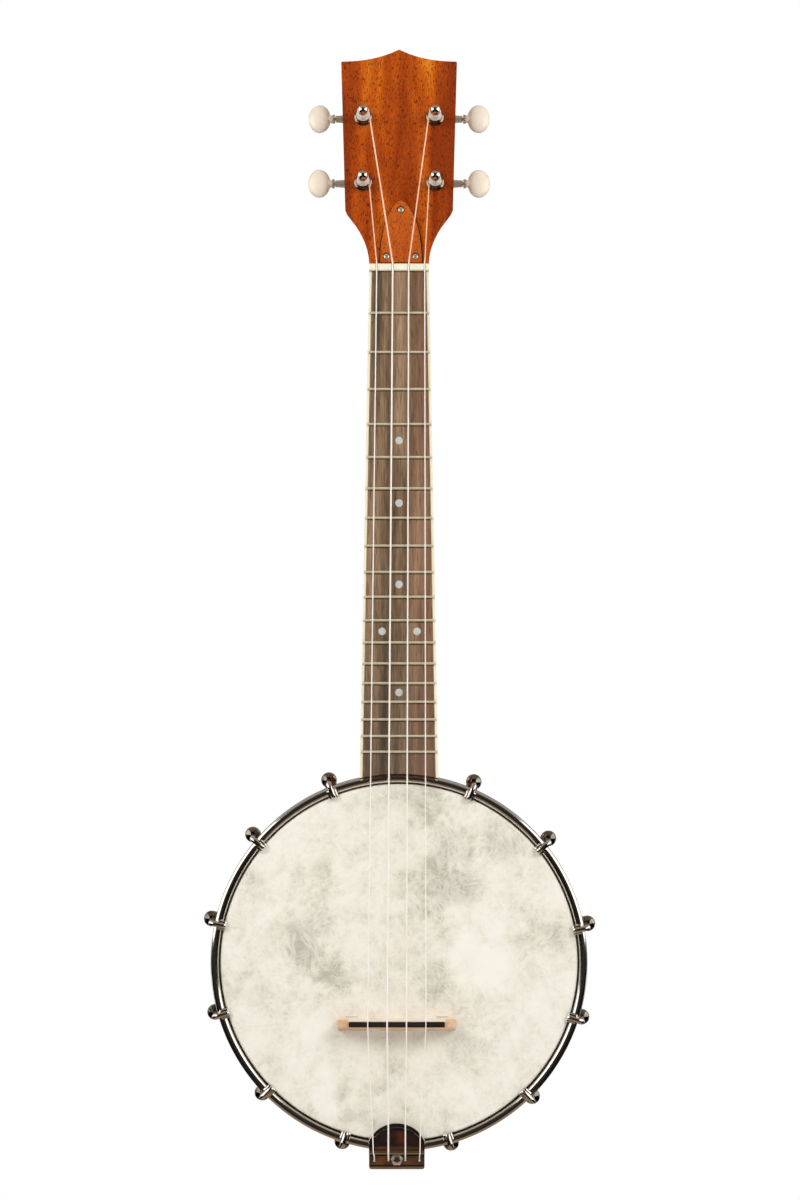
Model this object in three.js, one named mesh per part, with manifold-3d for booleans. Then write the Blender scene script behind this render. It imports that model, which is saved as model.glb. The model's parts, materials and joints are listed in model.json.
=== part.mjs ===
// A tenor banjo ukulele, in millimetres.
// The head's playing face is the plane y = 0 and its centre is the origin.
// x is to the right of someone who faces the head, y runs back through the pot, z runs up the neck.

import * as THREE from 'three';
import { mergeVertices } from 'three/addons/utils/BufferGeometryUtils.js';
import Module from 'manifold-3d';

const wasm = await Module();
wasm.setup();

// Fits that serve the whole instrument
const gap = 0.3;
const overrun = 5;

// Facets of round shapes
const ringFacets = 64;
const turnedFacets = 12;
const fineFacets = 10;
const smallFacets = 8;
const wireSides = 6;

// Rim and head
const rimDiameter = 203;
const rimWall = 10;
const rimBack = 51;
const rimBearingWidth = 2.6;
const rimBearingDrop = 2.4;
const rimEdge = 0.8;
const filmThickness = 0.6;
const collarWall = 0.8;
const fleshWidth = 5.7;
const fleshDepth = 4.8;

// Tension hoop
const hoopAir = 1.1;
const hoopWidth = 5.6;
const hoopDepth = 10.7;
const hoopProud = 1.2;
const hoopArcSteps = 5;

// Hooks, nuts and ball shoes
const hookCount = 12;
const hookTurn = THREE.MathUtils.degToRad(0.75);
const hookFirst = THREE.MathUtils.degToRad(22.2);
const hookPitch = THREE.MathUtils.degToRad(28.26);
const hookRadius = 1.6;
const hookAir = 0.4;
const hookBend = 2.6;
const clawWidth = 5.2;
const clawThickness = 1.35;
const clawRise = 1.2;
const hookNutFlats = 6.35;
const hookNutHeight = 10;
const hookEndProud = 4;
const shoeDepth = 24;
const ballRadius = 4.7;
const ballOffset = 1;
const shoeNeckRadius = 3.5;
const shoeBoltRadius = 2.4;
const shoeBoltHeadRadius = 4.4;
const shoeBoltHeadHeight = 3;

// Coordinator rod
const rodDepth = 30;
const rodRadius = 4;
const rodThreadRadius = 2.8;
const rodThreadInHeel = 14;
const rodNutRadius = 4.6;
const rodNutHeight = 5;

// Neck, from the face of the nut down to the pot
const neckLength = 291.9;
const neckPitch = THREE.MathUtils.degToRad(2.5);
const boardLift = 5;
const nutWidth = 34.9;
const boardEndWidth = 45.4;
const boardThickness = 5;
const neckDepthAtNut = 14.6;
const neckDepthAtHeel = 17.4;
const heelDepth = 45;
const heelLength = 56;
const heelPastPot = 16;
const shaftStations = 7;
const heelStations = 9;
const sectionSteps = 14;

// Nut
const nutThickness = 4.4;
const nutProud = 1.9;
const nutCrown = 0.6;

// Frets and binding
const scaleLength = 431.8;
const fretCount = 18;
const fretWidth = 2;
const fretHeight = 0.95;
const fretTang = 0.6;
const fretTangDepth = 1.5;
const fretEndInset = 0.2;
const bindingWidth = 1.6;

// Headstock
const headstockPitch = THREE.MathUtils.degToRad(11);
const headstockThickness = 14;
const headstockLength = 134.5;
const headstockTopCorner = 126.8;
const headstockTopWidth = 68.5;
const headstockLowCorner = 32.8;
const headstockLowWidth = 62.8;
const headstockOgee = 14;
const headstockRoot = 3;
const outlineSteps = 8;

// Truss rod, its pocket and its cover
const trussRodRadius = 2.5;
const trussRodDepth = 5.4;
const trussRodLength = 240;
const trussNutRadius = 3;
const trussNutLength = 9;
const trussNutProud = 15;
const coverLength = 36.8;
const coverWidth = 24.2;
const coverThickness = 2;
const coverOffset = 1.1;
const coverTopScrew = 30.6;
const coverLowScrew = 3.4;
const coverLowScrewSpan = 16.8;
const coverScrewRadius = 1.7;
const coverScrewProud = 1;

// Tuners: places on the headstock
const tunerSpan = 42.2;
const tunerLow = 50.9;
const tunerHigh = 91.6;

// Tuner bushing
const bushingFlangeRadius = 5.3;
const bushingFlangeHeight = 1.7;
const bushingStepRadius = 4.3;
const bushingStepHeight = 0.9;
const bushingSleeveRadius = 4;
const bushingDepth = 7;
const bushingSlope = 0.8;

// Tuner post, along its own axis from the headstock's face
const postHeight = 15.5;
const postRadius = 3;
const postFootHeight = 3;
const postWaistRadius = 2.2;
const postWaistHeight = 10.4;
const postCapRadius = 2.9;
const postCapHeight = 11.4;
const postHoleHeight = 9.2;
const postHoleRadius = 0.8;

// Tuner gears and housing, behind the headstock's back
const gearDepth = 4.6;
const gearRadius = 4;
const gearThickness = 3;
const gearTeeth = 14;
const gearToothHeight = 0.7;
const wormRadius = 1.9;
const wormLength = 7.2;
const housingWall = 1;
const housingRound = 2.4;
const housingClearance = 0.5;
const snoutReach = 16.7;
const snoutRootRadius = 2.8;
const snoutTipRadius = 1.9;
const knobShaftRadius = 1;
const lugRadius = 3;
const lugReach = 4.6;
const lugThickness = 1.6;
const lugScrewRadius = 1.9;
const lugScrewProud = 1.2;

// Tuner knob
const collarRadius = 2.75;
const collarLength = 1.5;
const knobBossRadius = 2.3;
const knobBossLength = 1;
const knobWidth = 12.8;
const knobHeight = 16.6;
const knobDepth = 6.6;

// Bridge, standing on the head
const saddleSetback = 3.6;
const bridgeOffset = -1.3;
const bridgeLength = 68.2;
const bridgeHeight = 16;
const bridgeFootThickness = 5.6;
const bridgeTopThickness = 3.5;
const bridgeShoulder = 7.5;
const bridgeOuterFoot = 16.6;
const bridgeMiddleFoot = 18.6;
const bridgeArchHeight = 6.4;
const saddleLength = 55.3;
const saddleHeight = 3;
const saddleThickness = 3.1;

// Tailpiece, a bent sheet across the hoop
const tailOffset = -1.3;
const tailWidth = 32.2;
const tailSheet = 1.3;
const tailReach = 18.5;
const tailLipDrop = 1.2;
const tailLipBevel = 2.4;
const tailPlateProud = 4.6;
const tailBend = 3.2;
const tailShelfDepth = 4;
const tailShelfLength = 7.6;
const tailRollRadius = 2.2;
const tailRollLength = 1.4;
const tailArchRadius = 18.2;
const tailCorner = 1.5;

// Hanger that holds the tailpiece to the rim
const hangerWidth = 16;
const hangerSheet = 2;
const hangerFront = 16.6;
const hangerBack = 46;
const hangerPastShelf = 0.7;
const hangerBoltAlong = 3.5;
const hangerBoltRadius = 1.9;
const hangerNutFlats = 5.8;
const hangerNutHeight = 3;

// Strings, from the left of the photograph: their gauges and where they cross the nut, bridge and tailpiece
const stringDiameters = [0.68, 0.98, 0.83, 0.63];
const nutStringSpacing = 9.3;
const nutStringOffset = 0.95;
const bridgeStringSpacing = 11.15;
const holeSpans = [-13.05, -4.85, 4.95, 13.15];
const lipSpans = [-14.1, -4.9, 4.95, 13.65];
const stringAction = 1.5;
const stringHoleAir = 0.4;
const stringHoleDrop = 0.9;
const knotRadiusShare = 1.35;
const knotDepth = 2.2;

// Windings on the posts
const windingTurns = 2.25;
const loopSteps = 24;
const stringSides = 6;
const windingAir = 0.55;
const windingLowest = 3.3;
const leastAllowedGap = 0.4;

// Radii and depths of the pot that follow from the sizes above
const rimOuter = rimDiameter / 2;
const rimInner = rimOuter - rimWall;
const rimFront = filmThickness + gap;
const collarInner = rimOuter + gap;
const collarOuter = collarInner + collarWall;
const hoopInner = collarOuter + hoopAir;
const hoopOuter = hoopInner + hoopWidth;
const hoopFront = -hoopProud;
const hoopBack = hoopFront + hoopDepth;
const fleshFront = hoopBack + gap;
const fleshBack = fleshFront + fleshDepth;
const fleshOuter = collarInner + fleshWidth;
const shankRadiusAt = hoopOuter + hookAir + hookRadius;
const ballAt = shankRadiusAt + ballOffset;

// The neck's frame: its origin is the top of the fingerboard at the nut's face
const potClearance = hoopOuter + gap;
const neckFrame = new THREE.Group();
neckFrame.position.set(
  0,
  -boardLift + neckLength * Math.sin(neckPitch),
  potClearance + neckLength * Math.cos(neckPitch),
);
neckFrame.rotation.x = -neckPitch;
neckFrame.updateMatrix();
const glueDepth = boardThickness + gap;

// The headstock's frame: its origin is the middle of the face's lower end, behind the nut
const headstockFrame = new THREE.Group();
headstockFrame.position.set(0, boardThickness, nutThickness);
headstockFrame.rotation.x = -headstockPitch;
headstockFrame.updateMatrix();

const fromNeck = neckFrame.matrix.clone();
const intoNeck = fromNeck.clone().invert();
const fromHeadstock = fromNeck.clone().multiply(headstockFrame.matrix);
const headstockIntoNeck = headstockFrame.matrix.clone();

// Materials, with the colours, roughness and metalness that the instrument shows
function finish(color, roughness, metalness) {
  return new THREE.MeshStandardMaterial({ color, roughness, metalness });
}
const mahogany = finish('#a4501c', 0.42, 0);
const walnut = finish('#5d4a3c', 0.5, 0);
const maple = finish('#dcb488', 0.5, 0);
const ebony = finish('#2a211c', 0.45, 0);
const ivoroid = finish('#efe6c8', 0.4, 0);
const cream = finish('#f0e4d0', 0.3, 0);
const chrome = finish('#c9c6c0', 0.12, 1);
const nickel = finish('#b8b0a2', 0.22, 1);
const steel = finish('#8d8a86', 0.35, 1);
const parchment = finish('#e6e0cf', 0.6, 0);
const nylon = finish('#ece6dc', 0.3, 0);

// A three.js geometry as a solid that can be cut and joined
function solidOf(geometry) {
  const bare = geometry.clone();
  bare.deleteAttribute('normal');
  bare.deleteAttribute('uv');
  const merged = mergeVertices(bare);
  const mesh = new wasm.Mesh({
    numProp: 3,
    vertProperties: new Float32Array(merged.attributes.position.array),
    triVerts: new Uint32Array(merged.index.array),
  });
  return new wasm.Manifold(mesh);
}

// A solid back as a three.js geometry
function geometryOf(solid) {
  const mesh = solid.getMesh();
  const geometry = new THREE.BufferGeometry();
  geometry.setAttribute('position', new THREE.BufferAttribute(mesh.vertProperties, 3));
  geometry.setIndex(new THREE.BufferAttribute(mesh.triVerts, 1));
  geometry.computeVertexNormals();
  return geometry;
}

// One geometry joined with others
function joined(geometry, additions) {
  return geometryOf(additions.reduce((solid, addition) => solid.add(solidOf(addition)), solidOf(geometry)));
}

// One geometry with others cut away
function cut(geometry, cutters) {
  return geometryOf(cutters.reduce((solid, cutter) => solid.subtract(solidOf(cutter)), solidOf(geometry)));
}

// What two geometries share
function shared(geometry, other) {
  return geometryOf(solidOf(geometry).intersect(solidOf(other)));
}

// An outline of [radius, height] pairs turned about the y axis; off the axis it closes on itself
function turned(outline, facets = turnedFacets) {
  const points = outline.map(([radius, height]) => new THREE.Vector2(radius, height));
  if (THREE.ShapeUtils.area(points) < 0) {
    points.reverse();
  }
  if (points[0].x > 0) {
    points.push(points[0].clone());
  }
  return new THREE.LatheGeometry(points, facets);
}

// A straight cylinder along y from one depth to another
function cylinder(radius, from, to, facets = turnedFacets) {
  return turned([[0, from], [radius, from], [radius, to], [0, to]], facets);
}

// A box between two corners
function block(low, high) {
  const size = new THREE.Vector3().subVectors(high, low);
  const middle = new THREE.Vector3().addVectors(low, high).multiplyScalar(1 / 2);
  return new THREE.BoxGeometry(size.x, size.y, size.z).translate(middle.x, middle.y, middle.z);
}

// An outline in x and z, thickened along y from one depth to another
function slab(shape, from, to) {
  const geometry = new THREE.ExtrudeGeometry(shape, {
    depth: to - from,
    bevelEnabled: false,
    curveSegments: outlineSteps,
  });
  return geometry.rotateX(Math.PI / 2).translate(0, to, 0);
}

// A polygon as a three.js shape
function polygon(points) {
  return new THREE.Shape(points.map(([x, y]) => new THREE.Vector2(x, y)));
}

// Points of an arc about a centre, as [x, y] pairs
function arc(centreX, centreY, radius, from, to, steps) {
  const points = [];
  for (let step = 0; step <= steps; step += 1) {
    const angle = from + ((to - from) * step) / steps;
    points.push([centreX + radius * Math.cos(angle), centreY + radius * Math.sin(angle)]);
  }
  return points;
}

// A regular prism along y, given by the distance between its flats
function hexPrism(flats, from, to) {
  return cylinder(flats / 2 / Math.cos(Math.PI / 6), from, to, 6);
}

// A curve through listed points, whose equal steps fall on the points
class Route extends THREE.Curve {
  constructor(points) {
    super();
    this.points = points;
  }
  getPoint(t, target = new THREE.Vector3()) {
    const at = t * (this.points.length - 1);
    const index = Math.min(Math.floor(at), this.points.length - 2);
    return target.lerpVectors(this.points[index], this.points[index + 1], at - index);
  }
  getTangent(t, target = new THREE.Vector3()) {
    const index = Math.round(t * (this.points.length - 1));
    const before = this.points[Math.max(index - 1, 0)];
    const here = this.points[index];
    const after = this.points[Math.min(index + 1, this.points.length - 1)];
    const arriving = new THREE.Vector3().subVectors(here, before).normalize();
    const leaving = new THREE.Vector3().subVectors(after, here).normalize();
    return target.addVectors(arriving, leaving).normalize();
  }
  getUtoTmapping(u) {
    return u;
  }
}

// A round rod through listed points
function rod(points, radius, sides) {
  const section = polygon(arc(0, 0, radius, 0, (2 * Math.PI * (sides - 1)) / sides, sides - 1));
  return new THREE.ExtrudeGeometry(section, {
    steps: points.length - 1,
    extrudePath: new Route(points),
    bevelEnabled: false,
  });
}

// The outline of a bent sheet, given by the points of its front face and its thickness
function sheetOutline(front, thickness) {
  const points = front.map(([x, y]) => new THREE.Vector2(x, y));
  const back = points.map((point, index) => {
    const before = points[Math.max(index - 1, 0)];
    const after = points[Math.min(index + 1, points.length - 1)];
    const arriving = new THREE.Vector2().subVectors(point, before);
    const leaving = new THREE.Vector2().subVectors(after, point);
    if (index === 0) {
      arriving.copy(leaving);
    }
    arriving.normalize();
    const direction = arriving.clone().add(leaving.normalize()).normalize();
    const stretch = thickness / direction.dot(arriving);
    return [point.x - direction.y * stretch, point.y + direction.x * stretch];
  });
  return polygon([...front, ...back.reverse()]);
}

const model = new THREE.Group();
model.add(neckFrame);
neckFrame.add(headstockFrame);

// A named piece in a group
function place(name, geometry, material, group = model) {
  const mesh = new THREE.Mesh(geometry, material);
  mesh.name = name;
  group.add(mesh);
  return mesh;
}

// Rim, with its bearing edge and holes for the shoe bolts and the coordinator rod
const hookAngles = [];
for (let pair = 0; pair < hookCount / 2; pair += 1) {
  const angle = hookFirst + pair * hookPitch;
  hookAngles.push(-angle + hookTurn, angle + hookTurn);
}
hookAngles.sort((one, other) => one - other);

function turnToAngle(geometry, angle) {
  return geometry.rotateY(angle - Math.PI / 2);
}

function rimGeometry() {
  const wood = turned([
    [rimInner, rimFront + rimBearingDrop],
    [rimOuter - rimEdge - rimBearingWidth, rimFront],
    [rimOuter - rimEdge, rimFront],
    [rimOuter, rimFront + rimEdge],
    [rimOuter, rimBack],
    [rimInner, rimBack],
  ], ringFacets);
  const boltHoles = hookAngles.map((angle) => {
    const hole = cylinder(shoeBoltRadius + gap, rimInner - overrun, rimOuter + overrun, smallFacets);
    return turnToAngle(hole.rotateZ(-Math.PI / 2).translate(0, shoeDepth, 0), angle);
  });
  const rodHole = cylinder(rodThreadRadius + gap, -rimOuter - overrun, rimOuter + overrun, smallFacets);
  rodHole.rotateX(Math.PI / 2).translate(0, rodDepth, 0);
  return cut(wood, [...boltHoles, rodHole]);
}
place('rim', rimGeometry(), maple);

// Head film and the flesh hoop that carries its collar
place('head', cylinder(rimOuter, 0, filmThickness, ringFacets), parchment);
place('flesh_hoop', turned([
  [collarInner, gap],
  [collarOuter, gap],
  [collarOuter, fleshFront],
  [fleshOuter, fleshFront],
  [fleshOuter, fleshBack],
  [collarInner, fleshBack],
], ringFacets), nickel);

// Tension hoop, round along its front
const hoopRound = hoopWidth / 2;
place('tension_hoop', turned([
  [hoopInner, hoopBack],
  [hoopOuter, hoopBack],
  ...arc(hoopInner + hoopRound, hoopFront + hoopRound, hoopRound, 0, -Math.PI, hoopArcSteps),
], ringFacets), chrome);

// One hook with its nut, in the plane z = 0 with x outward from the pot's axis
function hookGeometry() {
  const overHoop = hoopFront - gap - hookRadius;
  const clawOuter = hoopInner - gap;
  const clawInner = clawOuter - clawThickness;
  const nutFront = shoeDepth + ballRadius + gap;
  const end = nutFront + hookNutHeight + hookEndProud;
  const bend = arc(shankRadiusAt - hookBend, overHoop + hookBend, hookBend, 0, -Math.PI / 2, 4);
  const route = [[shankRadiusAt, end], ...bend, [(clawInner + clawOuter) / 2, overHoop]];
  const wire = rod(route.map(([x, y]) => new THREE.Vector3(x, y, 0)), hookRadius, wireSides);
  const claw = block(
    new THREE.Vector3(clawInner, overHoop - clawRise, -clawWidth / 2),
    new THREE.Vector3(clawOuter, -gap, clawWidth / 2),
  );
  const nut = hexPrism(hookNutFlats, nutFront, nutFront + hookNutHeight).translate(shankRadiusAt, 0, 0);
  return joined(wire, [claw, nut]);
}

// One ball shoe with its bolt, in the same plane
function shoeGeometry() {
  const headInner = rimInner - gap - shoeBoltHeadHeight;
  const neckAngle = Math.asin(shoeNeckRadius / ballRadius);
  const ballOutline = arc(ballAt, 0, ballRadius, Math.PI - neckAngle, 0, 4);
  const ball = ballOutline.map(([along, radius]) => [radius, along]);
  ball[ball.length - 1][0] = 0;
  const body = turned([
    [0, headInner],
    [shoeBoltHeadRadius, headInner],
    [shoeBoltHeadRadius, headInner + shoeBoltHeadHeight],
    [shoeBoltRadius, headInner + shoeBoltHeadHeight],
    [shoeBoltRadius, collarInner],
    [shoeNeckRadius, collarInner],
    ...ball,
  ], smallFacets);
  body.rotateZ(-Math.PI / 2).translate(0, shoeDepth, 0);
  const boreHalf = ballRadius + overrun;
  const bore = cylinder(hookRadius + gap, shoeDepth - boreHalf, shoeDepth + boreHalf, smallFacets);
  return cut(body, [bore.translate(shankRadiusAt, 0, 0)]);
}

const oneHook = hookGeometry();
const oneShoe = shoeGeometry();
hookAngles.forEach((angle, index) => {
  const number = String(index + 1).padStart(2, '0');
  place(`hook_${number}`, oneHook, chrome).rotation.y = angle - Math.PI / 2;
  place(`shoe_${number}`, oneShoe, chrome).rotation.y = angle - Math.PI / 2;
});

// Coordinator rod: threaded into the heel, through the rim, and nutted outside the hanger
const hangerFace = rimOuter + gap + hangerSheet;
place('coordinator_rod', turned([
  [0, -hangerFace - gap - rodNutHeight],
  [rodNutRadius, -hangerFace - gap - rodNutHeight],
  [rodNutRadius, -hangerFace - gap],
  [rodThreadRadius, -hangerFace - gap],
  [rodThreadRadius, gap - rimInner],
  [rodRadius, gap - rimInner],
  [rodRadius, rimInner - gap],
  [rodThreadRadius, rimInner - gap],
  [rodThreadRadius, rimOuter + rodThreadInHeel],
  [0, rimOuter + rodThreadInHeel],
], smallFacets).rotateX(Math.PI / 2).translate(0, rodDepth, 0), steel);

// Half the board's width at a distance below the nut, and the neck's depth below the board there
function halfWidth(distance) {
  return (nutWidth + ((boardEndWidth - nutWidth) * distance) / neckLength) / 2;
}
const heelStart = neckLength - heelLength;
function neckDepth(distance) {
  const shaft = neckDepthAtNut + ((neckDepthAtHeel - neckDepthAtNut) * Math.max(distance, 0)) / neckLength;
  const along = THREE.MathUtils.clamp((distance - heelStart) / heelLength, 0, 1);
  return shaft + (heelDepth - shaft) * (1 - Math.sqrt(1 - along * along));
}

// The shaft and heel: a half round stretched at each station along the neck
function shaftGeometry() {
  const stations = [-nutThickness];
  for (let step = 0; step <= shaftStations; step += 1) {
    stations.push((heelStart * step) / shaftStations);
  }
  for (let step = 1; step <= heelStations; step += 1) {
    stations.push(heelStart + heelLength * Math.sin(((Math.PI / 2) * step) / heelStations));
  }
  stations.push(neckLength + heelPastPot);
  const half = polygon(arc(0, 0, 1, Math.PI, 2 * Math.PI, sectionSteps));
  const steps = stations.length - 1;
  const geometry = new THREE.ExtrudeGeometry(half, { depth: steps, steps, bevelEnabled: false });
  const position = geometry.attributes.position;
  for (let index = 0; index < position.count; index += 1) {
    const distance = stations[Math.round(position.getZ(index))];
    const x = position.getX(index) * halfWidth(Math.min(distance, neckLength));
    const y = glueDepth - position.getY(index) * neckDepth(distance);
    position.setXYZ(index, x, y, -distance);
  }
  return geometry;
}

// The headstock's outline: parabolic flares, nearly straight sides and an ogee top
function headstockShape() {
  const shape = new THREE.Shape();
  const low = headstockLowWidth / 2;
  const top = headstockTopWidth / 2;
  shape.moveTo(-nutWidth / 2, -headstockRoot);
  shape.lineTo(nutWidth / 2, -headstockRoot);
  shape.lineTo(nutWidth / 2, 0);
  shape.quadraticCurveTo(nutWidth / 2, headstockLowCorner / 2, low, headstockLowCorner);
  shape.lineTo(top, headstockTopCorner);
  shape.quadraticCurveTo(headstockOgee, headstockTopCorner, 0, headstockLength);
  shape.quadraticCurveTo(-headstockOgee, headstockTopCorner, -top, headstockTopCorner);
  shape.lineTo(-low, headstockLowCorner);
  shape.quadraticCurveTo(-nutWidth / 2, headstockLowCorner / 2, -nutWidth / 2, 0);
  return shape;
}

// The space that the hoops and the rim keep clear of the neck
function potCutter(front) {
  const hoops = cylinder(potClearance, front, fleshBack + gap, ringFacets);
  const rim = cylinder(rimOuter + gap, front, rimBack + overrun, ringFacets);
  return joined(hoops, [rim]).applyMatrix4(intoNeck);
}

// Places of the four posts on the headstock, as [name, side, height]
const tunerPlaces = [
  ['low_left', -1, tunerLow],
  ['high_left', -1, tunerHigh],
  ['high_right', 1, tunerHigh],
  ['low_right', 1, tunerLow],
];

const trussRodAt = glueDepth + trussRodDepth;
function neckGeometry() {
  const shaft = shaftGeometry();
  const headstock = slab(headstockShape(), 0, headstockThickness).applyMatrix4(headstockIntoNeck);
  const boardSpace = block(
    new THREE.Vector3(-boardEndWidth, -boardEndWidth, -neckLength - boardEndWidth),
    new THREE.Vector3(boardEndWidth, glueDepth, nutThickness),
  );
  const rodEnd = rimOuter + rodThreadInHeel + gap;
  const rodHole = cylinder(rodThreadRadius + gap, rimOuter - overrun, rodEnd, smallFacets);
  rodHole.rotateX(Math.PI / 2).translate(0, rodDepth, 0).applyMatrix4(intoNeck);
  const slot = block(
    new THREE.Vector3(-trussRodRadius - gap, glueDepth - overrun, -trussRodLength - gap),
    new THREE.Vector3(trussRodRadius + gap, trussRodAt + trussRodRadius + gap, trussNutProud + gap),
  );
  const pocket = block(
    new THREE.Vector3(-trussNutRadius - gap, glueDepth - overrun, trussNutProud - trussNutLength - gap),
    new THREE.Vector3(trussNutRadius + gap, trussRodAt + trussNutRadius + gap, trussNutProud + gap),
  );
  const postHoles = tunerPlaces.map(([, side, height]) => {
    const hole = cylinder(bushingSleeveRadius + gap, -overrun, headstockThickness + overrun);
    return hole.translate((side * tunerSpan) / 2, 0, height).applyMatrix4(headstockIntoNeck);
  });
  const blank = joined(shaft, [headstock]);
  return cut(blank, [boardSpace, potCutter(-boardEndWidth), rodHole, slot, pocket, ...postHoles]);
}
place('neck', neckGeometry(), mahogany, neckFrame);

// Fingerboard with its frets, each at its place on the scale
function strip(insideAtNut, outsideAtNut, insideAtPot, outsideAtPot, from, to) {
  const past = neckLength + overrun;
  const grow = past / neckLength;
  const inside = insideAtNut + (insideAtPot - insideAtNut) * grow;
  const outside = outsideAtNut + (outsideAtPot - outsideAtNut) * grow;
  return slab(polygon([[inside, -past], [outside, -past], [outsideAtNut, 0], [insideAtNut, 0]]), from, to);
}

const bindingSpace = bindingWidth + gap;
function fingerboardGeometry() {
  const atNut = halfWidth(0) - bindingSpace;
  const atPot = halfWidth(neckLength) - bindingSpace;
  const board = strip(-atNut, atNut, -atPot, atPot, 0, boardThickness);
  const frets = [];
  for (let number = 1; number <= fretCount; number += 1) {
    const distance = scaleLength * (1 - 2 ** (-number / 12));
    const reach = halfWidth(distance) - fretEndInset;
    const half = fretWidth / 2;
    const crown = new THREE.ExtrudeGeometry(polygon([
      [-half, 0],
      [half, 0],
      [half * Math.cos(Math.PI / 4), fretHeight * Math.sin(Math.PI / 4)],
      [0, fretHeight],
      [-half * Math.cos(Math.PI / 4), fretHeight * Math.sin(Math.PI / 4)],
    ]), { depth: 2 * reach, bevelEnabled: false });
    crown.rotateY(Math.PI / 2).rotateX(Math.PI).translate(-reach, 0, -distance);
    const tangReach = halfWidth(distance) - bindingSpace - fretTang;
    const tang = block(
      new THREE.Vector3(-tangReach, -fretHeight / 2, -distance - fretTang / 2),
      new THREE.Vector3(tangReach, fretTangDepth, -distance + fretTang / 2),
    );
    frets.push(crown, tang);
  }
  return cut(joined(board, frets), [potCutter(-boardEndWidth)]);
}
place('fingerboard', fingerboardGeometry(), walnut, neckFrame);

for (const [name, side] of [['left', -1], ['right', 1]]) {
  const nutOutside = side * halfWidth(0);
  const potOutside = side * halfWidth(neckLength);
  const ends = [nutOutside - side * bindingWidth, nutOutside, potOutside - side * bindingWidth, potOutside];
  const [a, b, c, d] = side > 0 ? ends : [ends[1], ends[0], ends[3], ends[2]];
  const binding = cut(strip(a, b, c, d, gap, boardThickness), [potCutter(-boardEndWidth)]);
  place(`binding_${name}`, binding, ivoroid, neckFrame);
}

// Where each string crosses the nut and the bridge
function spread(offset, spacing) {
  return stringDiameters.map((_, index) => offset + (index - 3 / 2) * spacing);
}
const nutStringX = spread(nutStringOffset, nutStringSpacing);
const bridgeStringX = spread(bridgeOffset, bridgeStringSpacing);

// Nut with a slot for each string
function nutGeometry() {
  const half = nutWidth / 2;
  const profile = polygon([
    [gap, -boardThickness],
    [nutThickness, -boardThickness],
    [nutThickness, nutProud - nutCrown],
    [nutThickness - nutCrown, nutProud],
    [gap + nutCrown, nutProud],
    [gap, nutProud - nutCrown],
  ]);
  const body = new THREE.ExtrudeGeometry(profile, { depth: nutWidth, bevelEnabled: false });
  body.rotateY(-Math.PI / 2).rotateZ(Math.PI).translate(-half, 0, 0);
  const slots = stringDiameters.map((diameter, index) => {
    const room = diameter / 2 + gap;
    return block(
      new THREE.Vector3(nutStringX[index] - room, -nutProud - overrun, -overrun),
      new THREE.Vector3(nutStringX[index] + room, -stringAction + room, nutThickness + overrun),
    );
  });
  return cut(body, slots);
}
place('nut', nutGeometry(), ivoroid, neckFrame);

// Truss rod with its adjusting nut, in the slot under the board
const trussRod = turned([
  [0, -trussRodLength],
  [trussRodRadius, -trussRodLength],
  [trussRodRadius, trussNutProud - trussNutLength],
  [trussNutRadius, trussNutProud - trussNutLength],
  [trussNutRadius, trussNutProud],
  [0, trussNutProud],
], smallFacets).rotateX(Math.PI / 2).translate(0, trussRodAt, 0);
place('truss_rod', trussRod, steel, neckFrame);

// Truss rod cover, half an ellipse, with three screws
function coverGeometry() {
  const half = arc(0, 0, 1, 0, Math.PI, 2 * outlineSteps);
  const outline = half.map(([x, y]) => [(x * coverWidth) / 2, y * coverLength]);
  const back = -gap;
  const front = back - coverThickness;
  const plate = slab(polygon(outline), front, back);
  const screws = [
    [0, coverTopScrew],
    [-coverLowScrewSpan / 2, coverLowScrew],
    [coverLowScrewSpan / 2, coverLowScrew],
  ];
  const heads = screws.map(([x, z]) => turned([
    [0, front - coverScrewProud],
    [coverScrewRadius * Math.cos(Math.PI / 4), front - coverScrewProud * Math.sin(Math.PI / 4)],
    [coverScrewRadius, front],
    [coverScrewRadius, (front + back) / 2],
    [0, (front + back) / 2],
  ], smallFacets).translate(x, 0, z));
  return joined(plate, heads).translate(coverOffset, 0, gap);
}
place('truss_rod_cover', coverGeometry(), mahogany, headstockFrame);

// Bushing: a stepped flange on the face and a sleeve in the hole
const boreRadius = postRadius + gap;
const bushing = turned([
  [boreRadius, bushingDepth],
  [bushingSleeveRadius, bushingDepth],
  [bushingSleeveRadius, -gap],
  [bushingFlangeRadius, -gap],
  [bushingFlangeRadius, -bushingFlangeHeight + bushingSlope],
  [bushingStepRadius, -bushingFlangeHeight],
  [boreRadius, -bushingFlangeHeight - bushingStepHeight],
], fineFacets);

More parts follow.
